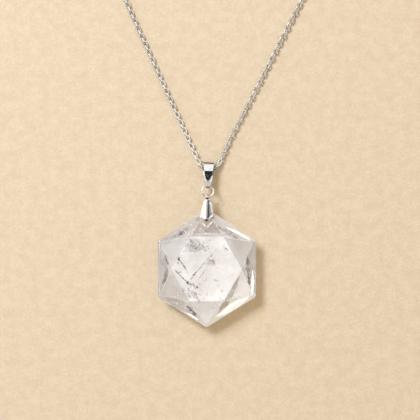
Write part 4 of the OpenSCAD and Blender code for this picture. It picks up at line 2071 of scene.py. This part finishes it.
@dataclass(frozen=True)
class Studio:
    """Floor, cards, lights and camera round the pendant."""

    # Place that the camera looks at, lens and sensor in millimetres and the view's width there
    aim: Place = (0.00104, 0.01802, 0.0045)
    lens: float = 200.0
    sensor: float = 36.0
    view_w: float = 0.1285
    # Degrees that the camera stands over the floor
    elevation: float = 89.0
    # Nearest and farthest that the camera sees
    clip: Spot = (0.01, 20.0)
    key_toward: Place = (-0.54, 0.55, 0.9)
    key_reach: float = 1.0
    key_size: float = 0.34
    key_watts: float = 8.9
    key_colour: Colour = (0.81, 0.87, 1.0)
    sky: Colour = (0.62, 0.535, 0.41)
    # Light of the dome at the floor and from a share of its height upwards
    dome_r: float = 1.6
    dome_low: Colour = (0.16, 0.15, 0.14)
    dome_high: Colour = (0.95, 0.94, 0.93)
    dome_full: float = 0.9
    floor_size: float = 3.0
    floor_gap: float = 0.00003

    def build(self) -> None:
        """Sets up the floor, cards, lights and camera."""
        scene = bpy.context.scene
        scene.view_settings.view_transform = "Standard"
        scene.cycles.use_denoising = True
        scene.cycles.max_bounces = 24
        scene.cycles.transmission_bounces = 20
        scene.cycles.glossy_bounces = 12
        scene.cycles.diffuse_bounces = 16
        scene.cycles.transparent_max_bounces = 24
        self._sky(scene)
        self._floor()
        self._dome()
        middle = Vector(self.aim)
        for card in CARDS:
            card.build(middle)
        self._key(middle)
        self._camera(scene, middle)

    def _sky(self, scene: bpy.types.Scene) -> None:
        """Gives the world an even warm tone.

        Args:
            scene: The scene.
        """
        world = bpy.data.worlds.new("soft_sky")
        world.use_nodes = True
        world.node_tree.nodes["Background"].inputs["Color"].default_value = (*self.sky, 1.0)
        scene.world = world

    def _floor(self) -> None:
        """Lays the floor just under the pendant."""
        bpy.ops.mesh.primitive_plane_add(size=self.floor_size, location=(0, 0, -self.floor_gap))
        floor = bpy.context.object
        floor.name = "pale_floor"
        floor.data.materials.append(PaleFloor().material())

    def _dome(self) -> None:
        """Sets a dome, dim low down and bright above, that shows only where it is mirrored."""
        bpy.ops.mesh.primitive_uv_sphere_add(segments=32, ring_count=16, radius=self.dome_r)
        dome = bpy.context.object
        dome.name = "mirrored_dome"
        desk = Desk("mirrored_dome")
        height = desk.axis(desk.place((1 / self.dome_r,) * 3), "Z")
        share = desk.ramp(height, 0.0, self.dome_full)
        inputs = {
            "Base Color": (0.0, 0.0, 0.0, 1.0),
            "Emission Color": desk.mixed(share, self.dome_low, self.dome_high),
            "Emission Strength": 1.0,
        }
        dome.data.materials.append(desk.done(desk.shader(PRINCIPLED, inputs)))
        dome.visible_camera = False
        dome.visible_diffuse = False
        dome.visible_transmission = False
        dome.visible_shadow = False

    def _key(self, middle: Vector) -> None:
        """Hangs the soft key light at the upper left.

        Args:
            middle: The place that it shines at, in metres.
        """
        toward = Vector(self.key_toward).normalized()
        bpy.ops.object.light_add(type="AREA", location=middle + toward * self.key_reach)
        key = bpy.context.object
        key.name = "key_light"
        key.data.size = self.key_size
        key.data.energy = self.key_watts
        key.data.color = self.key_colour
        key.visible_glossy = False
        key.rotation_mode = "QUATERNION"
        key.rotation_quaternion = toward.to_track_quat("Z", "Y")

    def _camera(self, scene: bpy.types.Scene, middle: Vector) -> None:
        """Puts the camera over the pendant, at the photograph's angle.

        Args:
            scene: The scene.
            middle: The place that it looks at, in metres.
        """
        back = Vector((0, -cos_deg(self.elevation), sin_deg(self.elevation)))
        distance = self.view_w / 2 * self.lens / (self.sensor / 2)
        bpy.ops.object.camera_add(location=middle + back * distance)
        camera = bpy.context.object
        camera.rotation_mode = "QUATERNION"
        camera.rotation_quaternion = back.to_track_quat("Z", "Y")
        camera.data.lens = self.lens
        camera.data.sensor_width = self.sensor
        camera.data.clip_start, camera.data.clip_end = self.clip
        scene.camera = camera


def main() -> None:
    """Builds the pendant and the studio round it."""
    logging.basicConfig(level=logging.INFO, format="%(name)s: %(message)s")
    stone = QuartzStone()
    line = HangLine(stone)
    clasp = Clasp(line)
    polished = Silver("polished_silver").material()
    plated = Silver(
        "chain_silver", colour=(1.0, 0.995, 0.985), dull_colour=(0.96, 0.95, 0.935), roughness=0.2
    ).material()
    stone.make(Quartz().material())
    StoneFlawsAndGlints(stone).make()
    PinchBail(line).make(polished)
    JumpRing(line).make(polished)
    SnapBail(line).make(polished)
    CableChain(line, clasp).make(plated)
    clasp.make(polished)
    Studio().build()


if __name__ == "__main__":
    main()
